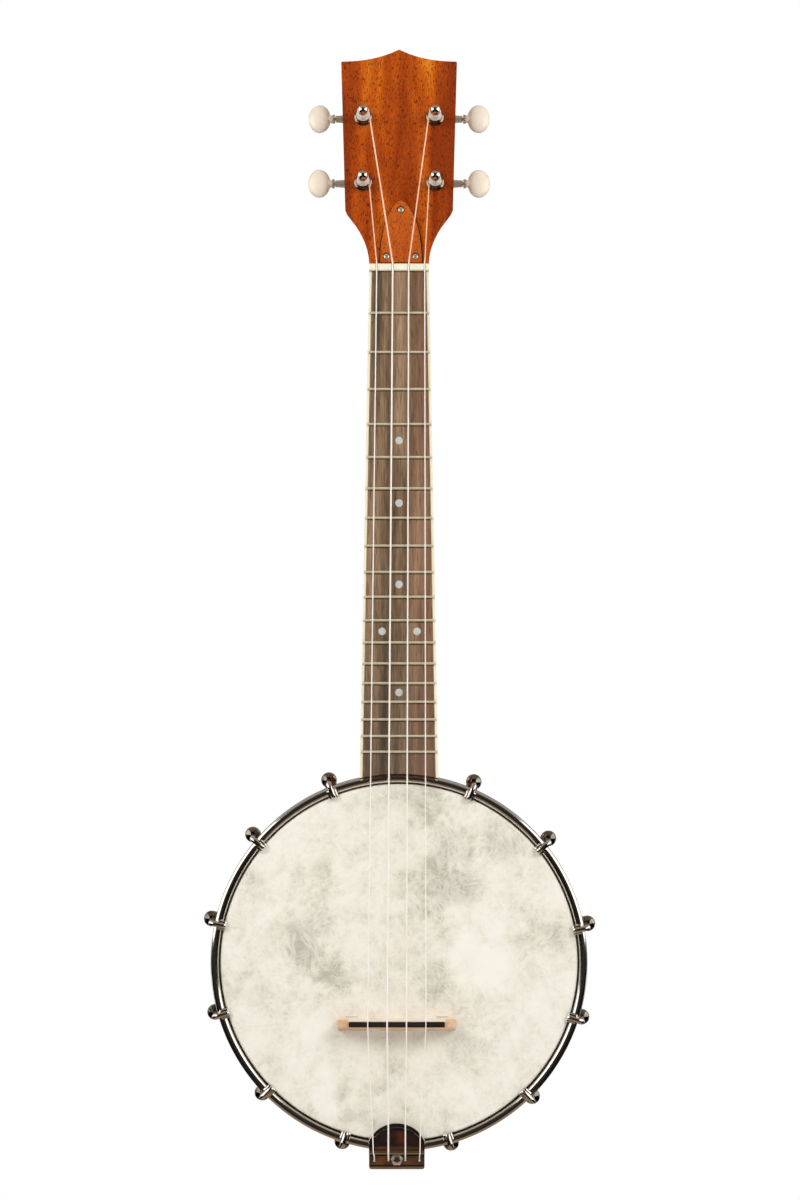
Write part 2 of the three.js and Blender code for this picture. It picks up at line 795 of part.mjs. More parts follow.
// Post with its gear, about the y axis, with the headstock's face at y = 0
const gearMiddle = headstockThickness + gearDepth;
const gearBack = gearMiddle + gearThickness / 2;
const capMiddle = postCapRadius - postHeight;
function postGeometry() {
  const outline = [
    [0, gearBack],
    [postRadius, gearBack],
    [postRadius, -postFootHeight],
    [postWaistRadius, -postFootHeight],
    [postWaistRadius, -postWaistHeight],
    [postCapRadius, -postCapHeight],
    [postCapRadius, capMiddle],
    [postCapRadius * Math.cos(Math.PI / 4), capMiddle - postCapRadius * Math.sin(Math.PI / 4)],
    [0, -postHeight],
  ];
  const teeth = [];
  for (let tooth = 0; tooth < gearTeeth; tooth += 1) {
    const angle = (2 * Math.PI * tooth) / gearTeeth;
    const root = gearRadius - gearToothHeight;
    const half = Math.PI / gearTeeth;
    teeth.push([gearRadius * Math.cos(angle), gearRadius * Math.sin(angle)]);
    teeth.push([root * Math.cos(angle + half), root * Math.sin(angle + half)]);
  }
  const gear = slab(polygon(teeth), gearMiddle - gearThickness / 2, gearBack);
  const hole = cylinder(postHoleRadius, -postRadius - overrun, postRadius + overrun, wireSides);
  hole.rotateZ(Math.PI / 2).translate(0, -postHoleHeight, 0);
  return cut(joined(turned(outline, fineFacets), [gear]), [hole]);
}

// Housing: a cup over the gear and worm, with a snout along x and a lug for its screw
const wormAt = gearRadius + gap + wormRadius;
const cavityHalf = gearRadius + housingClearance;
const cavityTop = wormAt + wormRadius + housingClearance;
const cavityBack = headstockThickness + gearDepth + cavityHalf / 2;
const cavityOut = cavityHalf + housingClearance;

function roundedRectangle(left, bottom, right, top, radius) {
  const shape = new THREE.Shape();
  shape.moveTo(left + radius, bottom);
  shape.lineTo(right - radius, bottom);
  shape.quadraticCurveTo(right, bottom, right, bottom + radius);
  shape.lineTo(right, top - radius);
  shape.quadraticCurveTo(right, top, right - radius, top);
  shape.lineTo(left + radius, top);
  shape.quadraticCurveTo(left, top, left, top - radius);
  shape.lineTo(left, bottom + radius);
  shape.quadraticCurveTo(left, bottom, left + radius, bottom);
  return shape;
}

// A slab with few steps on its corners
function plate(shape, from, to) {
  const depth = to - from;
  const geometry = new THREE.ExtrudeGeometry(shape, { depth, bevelEnabled: false, curveSegments: 3 });
  return geometry.rotateX(Math.PI / 2).translate(0, to, 0);
}

function housingGeometry() {
  const front = headstockThickness + gap;
  const wallOut = cavityOut + housingWall;
  const outer = plate(roundedRectangle(
    -cavityHalf - housingWall,
    -cavityHalf - housingWall,
    wallOut,
    cavityTop + housingWall,
    housingRound,
  ), front, cavityBack + housingWall);
  const inner = plate(roundedRectangle(
    -cavityHalf,
    -cavityHalf,
    cavityOut,
    cavityTop,
    housingRound - housingWall,
  ), front - overrun, cavityBack);
  const snout = turned([
    [0, cavityHalf],
    [snoutRootRadius, cavityHalf],
    [snoutRootRadius, wallOut],
    [snoutTipRadius, snoutReach],
    [0, snoutReach],
  ], fineFacets).rotateZ(-Math.PI / 2).translate(0, gearMiddle, wormAt);
  const bore = cylinder(knobShaftRadius + gap, 0, snoutReach + overrun, smallFacets);
  bore.rotateZ(-Math.PI / 2).translate(0, gearMiddle, wormAt);
  const lugFoot = -cavityHalf - housingWall - lugReach;
  const lug = plate(polygon([
    ...arc(0, lugFoot + lugRadius, lugRadius, Math.PI, 2 * Math.PI, 6),
    [lugRadius, -cavityHalf],
    [-lugRadius, -cavityHalf],
  ]), front, front + lugThickness);
  const screw = turned([
    [0, front],
    [lugScrewRadius, front],
    [lugScrewRadius, front + lugThickness],
    [lugScrewRadius * Math.cos(Math.PI / 4), front + lugThickness + lugScrewProud],
    [0, front + lugThickness + lugScrewProud],
  ], smallFacets).translate(0, 0, lugFoot + lugRadius);
  return cut(joined(outer, [snout, lug, screw]), [inner, bore]);
}

// Knob: worm, shaft, collar, boss and oval button, along x
const wormEnd = -wormLength / 2;
function knobGeometry() {
  const collarStart = snoutReach + gap;
  const bossStart = collarStart + collarLength;
  const buttonAt = bossStart + knobBossLength + knobWidth / 2;
  const shaft = turned([
    [0, wormEnd],
    [wormRadius, wormEnd],
    [wormRadius, wormEnd + wormLength],
    [knobShaftRadius, wormEnd + wormLength],
    [knobShaftRadius, collarStart],
    [collarRadius, collarStart],
    [collarRadius, bossStart],
    [knobBossRadius, bossStart],
    [knobBossRadius, buttonAt],
    [0, buttonAt],
  ], smallFacets).rotateZ(-Math.PI / 2);
  const button = new THREE.SphereGeometry(1, turnedFacets, smallFacets);
  button.rotateX(Math.PI / 2);
  button.scale(knobWidth / 2, knobDepth / 2, knobHeight / 2).translate(buttonAt, 0, 0);
  return joined(shaft, [button]);
}

const onePost = postGeometry();
const oneHousing = housingGeometry();
const oneKnob = knobGeometry();
for (const [name, side, height] of tunerPlaces) {
  const group = new THREE.Group();
  group.position.set((side * tunerSpan) / 2, 0, height);
  headstockFrame.add(group);
  const handed = (geometry) => (side > 0 ? geometry : mirrored(geometry));
  place(`tuner_bushing_${name}`, bushing, nickel, group);
  place(`tuner_post_${name}`, onePost, nickel, group);
  place(`tuner_housing_${name}`, handed(oneHousing), nickel, group);
  place(`tuner_knob_${name}`, handed(oneKnob), cream, group).position.set(0, gearMiddle, wormAt);
}

// A geometry as in a mirror across x = 0, facing out again
function mirrored(geometry) {
  const copy = geometry.clone().scale(-1, 1, 1);
  const index = copy.index.array;
  for (let corner = 0; corner < index.length; corner += 3) {
    [index[corner], index[corner + 1]] = [index[corner + 1], index[corner]];
  }
  copy.computeVertexNormals();
  return copy;
}

// Bridge: three feet and two arches under a bar, thinner towards its top
const nutPoint = new THREE.Vector3(0, -stringAction, 0).applyMatrix4(fromNeck);
const bridgeAt = nutPoint.z - scaleLength - saddleSetback;
const saddleFoot = -(bridgeHeight - saddleHeight);

function bridgeGeometry() {
  const half = bridgeLength / 2;
  const outerFoot = half - bridgeOuterFoot;
  const middleFoot = bridgeMiddleFoot / 2;
  const top = bridgeHeight - saddleHeight - gap;
  const archMiddle = (outerFoot + middleFoot) / 2;
  const archHalf = (outerFoot - middleFoot) / 2;
  const arch = (side) => arc(0, 0, 1, 0, Math.PI, 6).map(([x, y]) => [
    side * archMiddle + x * archHalf,
    gap + y * bridgeArchHeight,
  ]);
  const shape = polygon([
    [-half, gap],
    ...arch(-1).reverse(),
    ...arch(1).reverse(),
    [half, gap],
    [half, bridgeShoulder],
    [(half + saddleLength / 2) / 2, top - gap],
    [saddleLength / 2, top],
    [-saddleLength / 2, top],
    [-(half + saddleLength / 2) / 2, top - gap],
    [-half, bridgeShoulder],
  ]);
  const geometry = new THREE.ExtrudeGeometry(shape, { depth: bridgeFootThickness, bevelEnabled: false });
  geometry.translate(0, 0, -bridgeFootThickness / 2);
  const position = geometry.attributes.position;
  for (let index = 0; index < position.count; index += 1) {
    const height = position.getY(index);
    const thickness = bridgeFootThickness + ((bridgeTopThickness - bridgeFootThickness) * height) / top;
    const z = (-position.getZ(index) * thickness) / bridgeFootThickness;
    position.setXYZ(index, position.getX(index), -height, z);
  }
  return geometry.translate(bridgeOffset, 0, bridgeAt);
}
place('bridge', bridgeGeometry(), maple);

function saddleGeometry() {
  const bar = block(
    new THREE.Vector3(bridgeOffset - saddleLength / 2, -bridgeHeight, bridgeAt - saddleThickness / 2),
    new THREE.Vector3(bridgeOffset + saddleLength / 2, saddleFoot, bridgeAt + saddleThickness / 2),
  );
  const slots = stringDiameters.map((diameter, index) => {
    const room = diameter / 2 + gap;
    return block(
      new THREE.Vector3(bridgeStringX[index] - room, -bridgeHeight - overrun, bridgeAt - overrun),
      new THREE.Vector3(bridgeStringX[index] + room, -bridgeHeight + room, bridgeAt + overrun),
    );
  });
  return cut(bar, slots);
}
place('bridge_saddle', saddleGeometry(), ebony);

// Tailpiece: a sheet bent over the hoop, drawn from the side with x as the distance below the head's centre
const tailWall = hoopOuter + gap + tailSheet;
const tailPlate = -tailPlateProud;
const tailLip = tailWall - tailReach;
const shelfEnd = tailWall + tailShelfLength;
const boltDrop = tailWall + hangerBoltAlong;
const holeDrop = boltDrop + stringHoleDrop;
function tailpieceGeometry() {
  const bend = arc(tailWall - tailBend, tailPlate + tailBend, tailBend, -Math.PI / 2, 0, 5);
  const roll = arc(shelfEnd, tailShelfDepth + tailRollRadius, tailRollRadius, -Math.PI / 2, 0, 3);
  const front = [
    [tailLip, tailPlate + tailLipDrop],
    [tailLip + tailLipBevel, tailPlate],
    ...bend,
    [tailWall, tailShelfDepth],
    ...roll,
    [shelfEnd + tailRollRadius, tailShelfDepth + tailRollRadius + tailRollLength],
  ];
  const outline = sheetOutline(front, tailSheet);
  const sheet = new THREE.ExtrudeGeometry(outline, { depth: tailWidth, bevelEnabled: false });
  sheet.rotateY(Math.PI / 2).translate(-tailWidth / 2, 0, 0);
  const half = tailWidth / 2;
  const foot = shelfEnd + tailRollRadius;
  const sideAngle = Math.acos(half / tailArchRadius);
  const archAt = -tailLip - tailArchRadius;
  const arch = arc(0, archAt, tailArchRadius, sideAngle, Math.PI - sideAngle, 2 * outlineSteps);
  const plan = polygon([
    [-half, -foot + tailCorner],
    [tailCorner - half, -foot],
    [half - tailCorner, -foot],
    [half, -foot + tailCorner],
    ...arch,
  ]);
  const trimmed = shared(sheet, slab(plan, tailPlate - overrun, hangerFront));
  const holeFront = tailShelfDepth - overrun / 2;
  const stringHoles = stringDiameters.map((diameter, index) => {
    const hole = cylinder(diameter / 2 + stringHoleAir, holeFront, hangerFront, smallFacets);
    return hole.translate(holeSpans[index], 0, -holeDrop);
  });
  const boltHole = cylinder(hangerBoltRadius + gap, holeFront, hangerFront, smallFacets);
  boltHole.translate(0, 0, -boltDrop);
  return cut(trimmed, [...stringHoles, boltHole]).translate(tailOffset, 0, 0);
}
place('tailpiece', tailpieceGeometry(), chrome);

// Hanger: an angle bracket on the rim, with the bolt and nut that hold the tailpiece
function hangerGeometry() {
  const half = hangerWidth / 2;
  const inner = -rimOuter - gap;
  const leg = block(
    new THREE.Vector3(-half, hangerFront, inner - hangerSheet),
    new THREE.Vector3(half, hangerBack, inner),
  );
  const ear = block(
    new THREE.Vector3(-half, hangerFront, -shelfEnd - hangerPastShelf),
    new THREE.Vector3(half, hangerFront + hangerSheet, inner),
  );
  const nutBack = tailShelfDepth - gap;
  const nutFront = nutBack - hangerNutHeight;
  const bolt = cylinder(hangerBoltRadius, nutFront, hangerFront + hangerSheet / 2, smallFacets);
  const nut = hexPrism(hangerNutFlats, nutFront, nutBack);
  const rodHole = cylinder(rodThreadRadius + gap, inner - hangerSheet - overrun, inner + overrun, smallFacets);
  rodHole.rotateX(Math.PI / 2).translate(-tailOffset, rodDepth, 0);
  const hardware = [ear, bolt.translate(0, 0, -boltDrop), nut.translate(0, 0, -boltDrop)];
  return cut(joined(leg, hardware), [rodHole]).translate(tailOffset, 0, 0);
}
place('tailpiece_hanger', hangerGeometry(), nickel);

// Strings, each one tube from its knot to the end of its winding
function windingPoints(side, height, radius, nutExit) {
  const around = postWaistRadius + gap + radius;
  const post = new THREE.Vector2((side * tunerSpan) / 2, height);
  const start = nutExit.clone().applyMatrix4(headstockIntoNeck.clone().invert());
  const toStart = new THREE.Vector2(-side * (start.x - post.x), start.z - post.y);
  const first = Math.atan2(toStart.y, toStart.x) + Math.acos(around / toStart.length());
  const rise = (2 * radius + windingAir) / loopSteps;
  const lowest = windingLowest + radius;
  const steps = Math.round(windingTurns * loopSteps);
  const points = [];
  for (let step = 0; step <= steps; step += 1) {
    const angle = first + (2 * Math.PI * step) / loopSteps;
    const x = post.x - side * around * Math.cos(angle);
    const z = post.y + around * Math.sin(angle);
    points.push(new THREE.Vector3(x, -lowest - rise * step, z));
  }
  return points.map((point) => point.applyMatrix4(fromHeadstock));
}

function stringPoints(index) {
  const radius = stringDiameters[index] / 2;
  const [, side, height] = tunerPlaces[index];
  const holeX = tailOffset + holeSpans[index];
  const lipX = tailOffset + lipSpans[index];
  const lipZ = -tailLip - tailLipBevel;
  const over = tailPlate - gap - radius;
  const wall = -tailWall - gap - radius;
  const points = [
    new THREE.Vector3(holeX, tailShelfDepth + tailSheet + knotDepth, -holeDrop),
    new THREE.Vector3(holeX, tailShelfDepth + tailSheet / 2, -holeDrop),
    new THREE.Vector3(holeX, tailShelfDepth - gap - radius, -holeDrop),
    new THREE.Vector3(holeX, tailPlate + tailBend / 2, wall - radius),
    new THREE.Vector3((holeX + lipX) / 2, over, -tailWall + tailBend / 3),
    new THREE.Vector3((holeX + lipX) / 2, over, -tailWall + tailBend),
    new THREE.Vector3(lipX, over, lipZ),
    new THREE.Vector3(bridgeStringX[index], -bridgeHeight, bridgeAt - saddleThickness / 2),
    new THREE.Vector3(bridgeStringX[index], -bridgeHeight, bridgeAt + saddleThickness / 2),
  ];
  const nutEntry = new THREE.Vector3(nutStringX[index], -stringAction, -gap);
  const nutExit = new THREE.Vector3(nutStringX[index], -stringAction, nutThickness + gap);
  points.push(nutEntry.clone().applyMatrix4(fromNeck), nutExit.clone().applyMatrix4(fromNeck));
  points.push(...windingPoints(side, height, radius, nutExit));
  return points;
}

// The least gap between a tube and itself, past the stretch that its own bend brings near
function leastGap(points, radius) {
  let least = Infinity;
  for (let one = 0; one < points.length; one += 1) {
    let along = 0;
    for (let other = one + 1; other < points.length; other += 1) {
      along += points[other - 1].distanceTo(points[other]);
      if (along > 2 * Math.PI * radius + Math.PI * postWaistRadius) {
        least = Math.min(least, points[one].distanceTo(points[other]) - 2 * radius);
      }
    }
  }
  return least;
}

tunerPlaces.forEach((_, index) => {
  const radius = stringDiameters[index] / 2;
  const points = stringPoints(index);
  const winding = points.slice(-Math.round(windingTurns * loopSteps) - 1);
  const least = leastGap(winding, radius);
  const enough = least > leastAllowedGap;
  console.log(`string_${index + 1}: least gap in its winding ${least.toFixed(2)} mm, enough: ${enough}`);
  const knot = new THREE.SphereGeometry(radius * 2 * knotRadiusShare, smallFacets, smallFacets / 2);
  knot.rotateX(Math.PI / 2).translate(points[0].x, points[0].y, points[0].z);
  place(`string_${index + 1}`, joined(rod(points, radius, stringSides), [knot]), nylon);
});

export default model;
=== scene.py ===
"""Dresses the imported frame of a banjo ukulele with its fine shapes, finishes, light and camera.

Shapes are made in millimetres, in the frame of the piece that carries them, and end in metres in the row
frame: x to the right of someone who faces the drum head, y back through the pot, z up the neck.
"""

from __future__ import annotations

import json
import logging
import math
from collections.abc import Callable, Sequence
from dataclasses import dataclass, field
from enum import Enum
from functools import reduce
from operator import add

import bmesh
import bpy
from mathutils import Euler, Matrix, Vector

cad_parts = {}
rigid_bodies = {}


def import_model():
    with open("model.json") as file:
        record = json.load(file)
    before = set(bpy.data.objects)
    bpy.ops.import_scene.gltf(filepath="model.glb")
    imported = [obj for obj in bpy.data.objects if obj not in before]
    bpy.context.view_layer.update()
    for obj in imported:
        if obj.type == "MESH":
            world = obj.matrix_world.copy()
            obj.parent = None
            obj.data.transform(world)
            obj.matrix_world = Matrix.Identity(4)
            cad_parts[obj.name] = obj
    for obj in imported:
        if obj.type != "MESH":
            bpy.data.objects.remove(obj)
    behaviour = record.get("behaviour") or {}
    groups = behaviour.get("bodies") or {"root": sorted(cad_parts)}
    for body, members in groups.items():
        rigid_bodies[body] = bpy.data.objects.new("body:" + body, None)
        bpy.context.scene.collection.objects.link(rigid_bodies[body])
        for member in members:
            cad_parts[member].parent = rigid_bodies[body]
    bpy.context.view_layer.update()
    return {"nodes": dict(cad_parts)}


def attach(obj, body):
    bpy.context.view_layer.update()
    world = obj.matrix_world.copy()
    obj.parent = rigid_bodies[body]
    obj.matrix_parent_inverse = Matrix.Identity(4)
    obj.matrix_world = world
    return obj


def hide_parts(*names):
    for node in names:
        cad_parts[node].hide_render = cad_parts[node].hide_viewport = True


LOG = logging.getLogger("banjo_ukulele")
METRES_PER_MM = 0.001
FIT = 0.3
FULL_TURN = 2 * math.pi
QUARTER_TURN = math.pi / 2
SLOT_HALF = 0.2
MERGED = 0.0001
LOW_TUNERS_AT = 50.9
HIGH_TUNERS_AT = 91.6
STRING_COUNT = 4
MIDDLE_STRING = (STRING_COUNT - 1) / 2

Pair = tuple[float, float]
Triple = tuple[float, float, float]
Socket = bpy.types.NodeSocket


def linear(code: str) -> tuple[float, float, float, float]:
    """Turns a colour written as #rrggbb into the linear colour that a shader takes."""
    channels = [int(code[start : start + 2], 16) / 255 for start in (1, 3, 5)]
    light = [c / 12.92 if c <= 0.04045 else ((c + 0.055) / 1.055) ** 2.4 for c in channels]
    return (*light, 1.0)


def oval(centre: Pair, radii: Pair, start: float, end: float, steps: int) -> list[Pair]:
    """Lists points along part of an oval.

    Args:
        centre: The oval's centre.
        radii: Its radius along each axis, negative where it is mirrored.
        start: The angle of the first point, in degrees.
        end: The angle of the last point, in degrees.
        steps: How many steps join them.

    Returns:
        The points, with both ends.
    """
    angles = [math.radians(start + (end - start) * step / steps) for step in range(steps + 1)]
    return [(centre[0] + radii[0] * math.cos(a), centre[1] + radii[1] * math.sin(a)) for a in angles]


def arc(centre: Pair, radius: float, start: float, end: float, steps: int) -> list[Pair]:
    """Lists points along part of a circle, as oval does."""
    return oval(centre, (radius, radius), start, end, steps)


def mirrored(half: list[Pair]) -> list[Pair]:
    """Closes the right half of an outline, whose last point is on the middle, by its mirror image."""
    return half + [(-x, z) for x, z in reversed(half[:-1])]


def hexagon(flats: float) -> float:
    """Gives the corner radius of a hexagon from the distance between its flats."""
    return flats / 2 / math.cos(math.pi / 6)


def clamped(value: float) -> float:
    """Keeps a share between 0 and 1."""
    return min(max(value, 0.0), 1.0)


def bent(first: Pair, control: Pair, last: Pair, steps: int) -> list[Pair]:
    """Lists points along a curve that one point pulls.

    Args:
        first: Where it starts.
        control: The point that pulls it.
        last: Where it ends.
        steps: How many steps join the ends.

    Returns:
        The points after the first one, with the last one.
    """
    points = []
    for step in range(1, steps + 1):
        t = step / steps
        weights = ((1 - t) ** 2, 2 * t * (1 - t), t * t)
        parts = list(zip(weights, (first, control, last)))
        points.append(tuple(sum(weight * point[axis] for weight, point in parts) for axis in range(2)))
    return points


def eased(points: Sequence[Vector], reach: float, steps: int) -> list[Vector]:
    """Rounds the corners of a route.

    Args:
        points: The route's corners, with its two ends.
        reach: How far before and after a corner the curve starts and ends.
        steps: How many steps each curve has.

    Returns:
        The route with a curve at each corner.
    """
    route = [points[0]]
    for before, corner, after in zip(points, points[1:], points[2:]):
        back = before - corner
        ahead = after - corner
        start = corner + back.normalized() * min(reach, back.length / 2.1)
        end = corner + ahead.normalized() * min(reach, ahead.length / 2.1)
        for step in range(steps + 1):
            t = step / steps
            route.append(start.lerp(corner, t).lerp(corner.lerp(end, t), t))
    route.append(points[-1])
    return route


class Number:
    """A shader socket's value, which takes part in Python sums."""

    def __init__(self, nodes: Nodes, socket: Socket) -> None:
        """Keeps the socket and the nodes that it is among."""
        self.nodes = nodes
        self.socket = socket

    def _math(self, operation: str, *terms: Number | float) -> Number:
        """Adds a Math node for an operation on the terms."""
        made = self.nodes.node("ShaderNodeMath", {"operation": operation}, dict(enumerate(terms)))
        return Number(self.nodes, made.outputs[0])

    def __add__(self, other: Number | float) -> Number:
        """Adds."""
        return self._math("ADD", self, other)

    def __radd__(self, other: float) -> Number:
        """Adds to a plain number."""
        return self._math("ADD", other, self)

    def __sub__(self, other: Number | float) -> Number:
        """Subtracts."""
        return self._math("SUBTRACT", self, other)

    def __rsub__(self, other: float) -> Number:
        """Subtracts from a plain number."""
        return self._math("SUBTRACT", other, self)

    def __mul__(self, other: Number | float) -> Number:
        """Multiplies."""
        return self._math("MULTIPLY", self, other)

    def __rmul__(self, other: float) -> Number:
        """Multiplies a plain number."""
        return self._math("MULTIPLY", other, self)

    def __abs__(self) -> Number:
        """Drops the sign."""
        return self._math("ABSOLUTE", self)

    def at_least(self, other: Number | float) -> Number:
        """Gives the larger of two values."""
        return self._math("MAXIMUM", self, other)

    def folded(self, length: float) -> Number:
        """Runs up from 0 to a length and down again, over and over."""
        return self._math("PINGPONG", self, length)

    def between(self, low: float, high: float) -> Number:
        """Rises smoothly from 0 at low to 1 at high."""
        ends = {"Value": self, "From Min": low, "From Max": high}
        made = self.nodes.node("ShaderNodeMapRange", {"interpolation_type": "SMOOTHSTEP"}, ends)
        return Number(self.nodes, made.outputs["Result"])


class Nodes:
    """A tree of shader nodes."""

    def __init__(self, tree: bpy.types.NodeTree) -> None:
        """Keeps the tree."""
        self.tree = tree

    def node(self, kind: str, settings: dict | None = None, inputs: dict | None = None) -> bpy.types.Node:
        """Adds a node.

        Args:
            kind: Blender's name for the node's type.
            settings: Its settings, and a ramp's stops as (place, colour) pairs.
            inputs: The values or links of its sockets, by name or number.

        Returns:
            The node.
        """
        made = self.tree.nodes.new(kind)
        for setting, value in (settings or {}).items():
            if setting == "stops":
                while len(made.color_ramp.elements) < len(value):
                    made.color_ramp.elements.new(1.0)
                for element, (place, colour) in zip(made.color_ramp.elements, value):
                    element.position = place
                    element.color = linear(colour)
            else:
                setattr(made, setting, value)
        for key, value in (inputs or {}).items():
            source = value.socket if isinstance(value, Number) else value
            if isinstance(source, Socket):
                self.tree.links.new(source, made.inputs[key])
            else:
                made.inputs[key].default_value = source
        return made

    def seen(self) -> Number:
        """Gives 1 to rays from the camera, a mirror or a glass, and 0 to the rest."""
        path = self.node("ShaderNodeLightPath").outputs
        direct = Number(self, path["Is Camera Ray"]).at_least(Number(self, path["Is Glossy Ray"]))
        return direct.at_least(Number(self, path["Is Transmission Ray"]))

    def show(self, output: str, first: bpy.types.Node, second: bpy.types.Node) -> None:
        """Sends a shader to the tree's output, and a second one to the rays that see it directly."""
        sockets = {0: self.seen(), 1: first.outputs[0], 2: second.outputs[0]}
        both = self.node("ShaderNodeMixShader", None, sockets).outputs[0]
        self.tree.links.new(both, self.tree.nodes[output].inputs["Surface"])


class Shader(Nodes):
    """The nodes of one material, around a Principled shader."""

    def __init__(self, name: str, fixed: dict[str, float | tuple]) -> None:
        """Makes the material and sets the sockets that are the same all over it."""
        self.material = bpy.data.materials.new(name)
        self.material.use_nodes = True
        super().__init__(self.material.node_tree)
        self.surface = self.tree.nodes["Principled BSDF"]
        for socket, value in fixed.items():
            self.surface.inputs[socket].default_value = value
        self.place = self.node("ShaderNodeTexCoord").outputs["Object"]

    def stretched(
        self, per_mm: Triple, offset: Triple = (0.0, 0.0, 0.0), turn: float = 0.0
    ) -> Socket:
        """Gives the place on the piece in pattern units.

        Args:
            per_mm: How many units there are to the millimetre along each axis, after the turn.
            offset: Where the pattern starts.
            turn: How far it is turned about the y axis, in degrees.

        Returns:
            The socket with the place.
        """
        source = self.place
        if turn:
            turned = {"Vector": source, "Rotation": (0.0, math.radians(turn), 0.0)}
            source = self.node("ShaderNodeMapping", None, turned).outputs[0]
        scale = tuple(share / METRES_PER_MM for share in per_mm)
        sockets = {"Vector": source, "Location": offset, "Scale": scale}
        return self.node("ShaderNodeMapping", None, sockets).outputs[0]

    def axis(self, index: int) -> Number:
        """Gives the place along one axis, in millimetres."""
        axes = self.node("ShaderNodeSeparateXYZ", None, {0: self.place}).outputs
        return Number(self, axes[index]) * (1 / METRES_PER_MM)

    def noise(
        self, per_mm: Triple, detail: float = 2.0, roughness: float = 0.5, offset: Triple = (0.0, 0.0, 0.0),
        bend: float = 0.0, turn: float = 0.0,
    ) -> Number:
        """Adds a noise pattern.

        Args:
            per_mm: How many pattern units there are to the millimetre along each axis.
            detail: How many finer layers it has.
            roughness: How strong these are.
            offset: Where in the pattern it starts.
            bend: How much it is distorted.
            turn: How far it is turned about the y axis, in degrees.

        Returns:
            The pattern's value, from about 0 to 1.
        """
        sockets = {
            "Vector": self.stretched(per_mm, offset, turn), "Scale": 1.0, "Detail": detail,
            "Roughness": roughness, "Distortion": bend,
        }
        return Number(self, self.node("ShaderNodeTexNoise", None, sockets).outputs[0])

    def ramp(self, factor: Number, stops: Sequence[tuple[float, str]]) -> Socket:
        """Colours a value by a ramp."""
        return self.node("ShaderNodeValToRGB", {"stops": stops}, {0: factor}).outputs[0]

    def mix(self, factor: Number | float, first: object, second: object) -> Socket:
        """Mixes two colours, each a socket or a written colour, by the share of the second."""
        under, over = (linear(tone) if isinstance(tone, str) else tone for tone in (first, second))
        return self.node("ShaderNodeMix", {"data_type": "RGBA"}, {0: factor, 6: under, 7: over}).outputs[2]

    def vector(self, operation: str, inputs: dict) -> bpy.types.bpy_prop_collection:
        """Adds a Vector Math node, and gives its outputs."""
        return self.node("ShaderNodeVectorMath", {"operation": operation}, inputs).outputs

    def connect(self, socket: str, source: Number | Socket) -> None:
        """Links a value or a colour to one of the surface's sockets."""
        start = source.socket if isinstance(source, Number) else source
        self.tree.links.new(start, self.surface.inputs[socket])

    def bump(self, height: Number, strength: float, depth_mm: float) -> None:
        """Gives the surface a relief."""
        sockets = {"Height": height, "Strength": strength, "Distance": depth_mm * METRES_PER_MM}
        self.connect("Normal", self.node("ShaderNodeBump", None, sockets).outputs[0])


@dataclass(frozen=True)
class Cast:
    """Another colour over part of a wood, a tint of the wood, and on the bridge a painted highlight: it
    rises along one axis, so far to both sides of a middle.
    """

    tone: str
    start: float
    end: float
    axis: int = 0
    strength: float = 0.45
    middle: float = 0.0
    reach: float = 1000.0
    edge: float = 0.3

    def over(self, shader: Shader, colour: Socket) -> Socket:
        """Blends the colour into a wood's own."""
        rising = shader.axis(self.axis).between(self.start, self.end) * self.strength
        inside = 1 - abs(shader.axis(0) - self.middle).between(self.reach, self.reach + self.edge)
        return shader.mix(rising * inside, colour, self.tone)


@dataclass(frozen=True)
class Wood:
    """A wood with its ribbons of colour, fine fibres and pores, grain along z or x."""

    name: str
    slot: str
    tones: tuple[tuple[float, str], ...]
    pore_tone: str
    ribbons: Triple
    fibres: Triple
    pores: Triple
    pore_edge: Pair = (0.6, 0.72)
    pore_strength: float = 0.7
    fibre_strength: float = 0.25
    roughness: float = 0.42
    coat: float = 0.25
    relief: float = 0.05
    ply_thickness: float = 0.0
    specular: float = 0.35
    bands: tuple[Triple, ...] = ()
    band_sway: float = 16.0
    casts: tuple[Cast, ...] = ()

    def material(self) -> bpy.types.Material:
        """Builds the wood's shader."""
        fixed = {"Coat Weight": self.coat, "Coat Roughness": 0.3, "Specular IOR Level": self.specular}
        shader = Shader(self.name, fixed)
        ribbon = shader.noise(self.ribbons, 3.0, 0.55, bend=0.3)
        fibre = shader.noise(self.fibres, 3.0, 0.6, (7.0, 3.0, 5.0))
        figure = ribbon + (fibre - 0.5) * self.fibre_strength
        if self.bands:
            figure = figure + self._banding(shader)
        pits = shader.noise(self.pores, 1.5, 0.5, (3.0, 9.0, 1.0)).between(*self.pore_edge)
        pore = pits * self.pore_strength
        colour = shader.ramp(figure, self.tones)
        for cast in self.casts:
            colour = cast.over(shader, colour)
        colour = shader.mix(pore, colour, self.pore_tone)
        if self.ply_thickness:
            colour = self._glued(shader, colour)
        shader.connect("Base Color", colour)
        shader.connect("Roughness", self.roughness + (fibre - 0.5) * 0.16 + pore * 0.15)
        shader.bump(fibre * 0.4 - pore, 0.5, self.relief)
        return shader.material

    def _banding(self, shader: Shader) -> Number:
        """Sums the bands, each at its place across the grain, with its reach and its strength."""
        across = shader.axis(0) + (shader.noise((0.03, 0.03, 0.012), 2.0) - 0.5) * self.band_sway
        bands = [
            (1 - abs(across - middle).between(0.0, reach)) * strength
            for middle, reach, strength in self.bands
        ]
        return reduce(add, bands)

    def _glued(self, shader: Shader, colour: Socket) -> Socket:
        """Draws the glue lines of a bent lamination, which lie at equal radii about the y axis."""
        flat = shader.stretched((1.0, 0.0, 1.0))
        radius = Number(shader, shader.vector("LENGTH", {0: flat})["Value"])
        line = 1 - radius.folded(self.ply_thickness / 2).between(0.05, 0.16)
        return shader.mix(line * 0.55, colour, self.pore_tone)


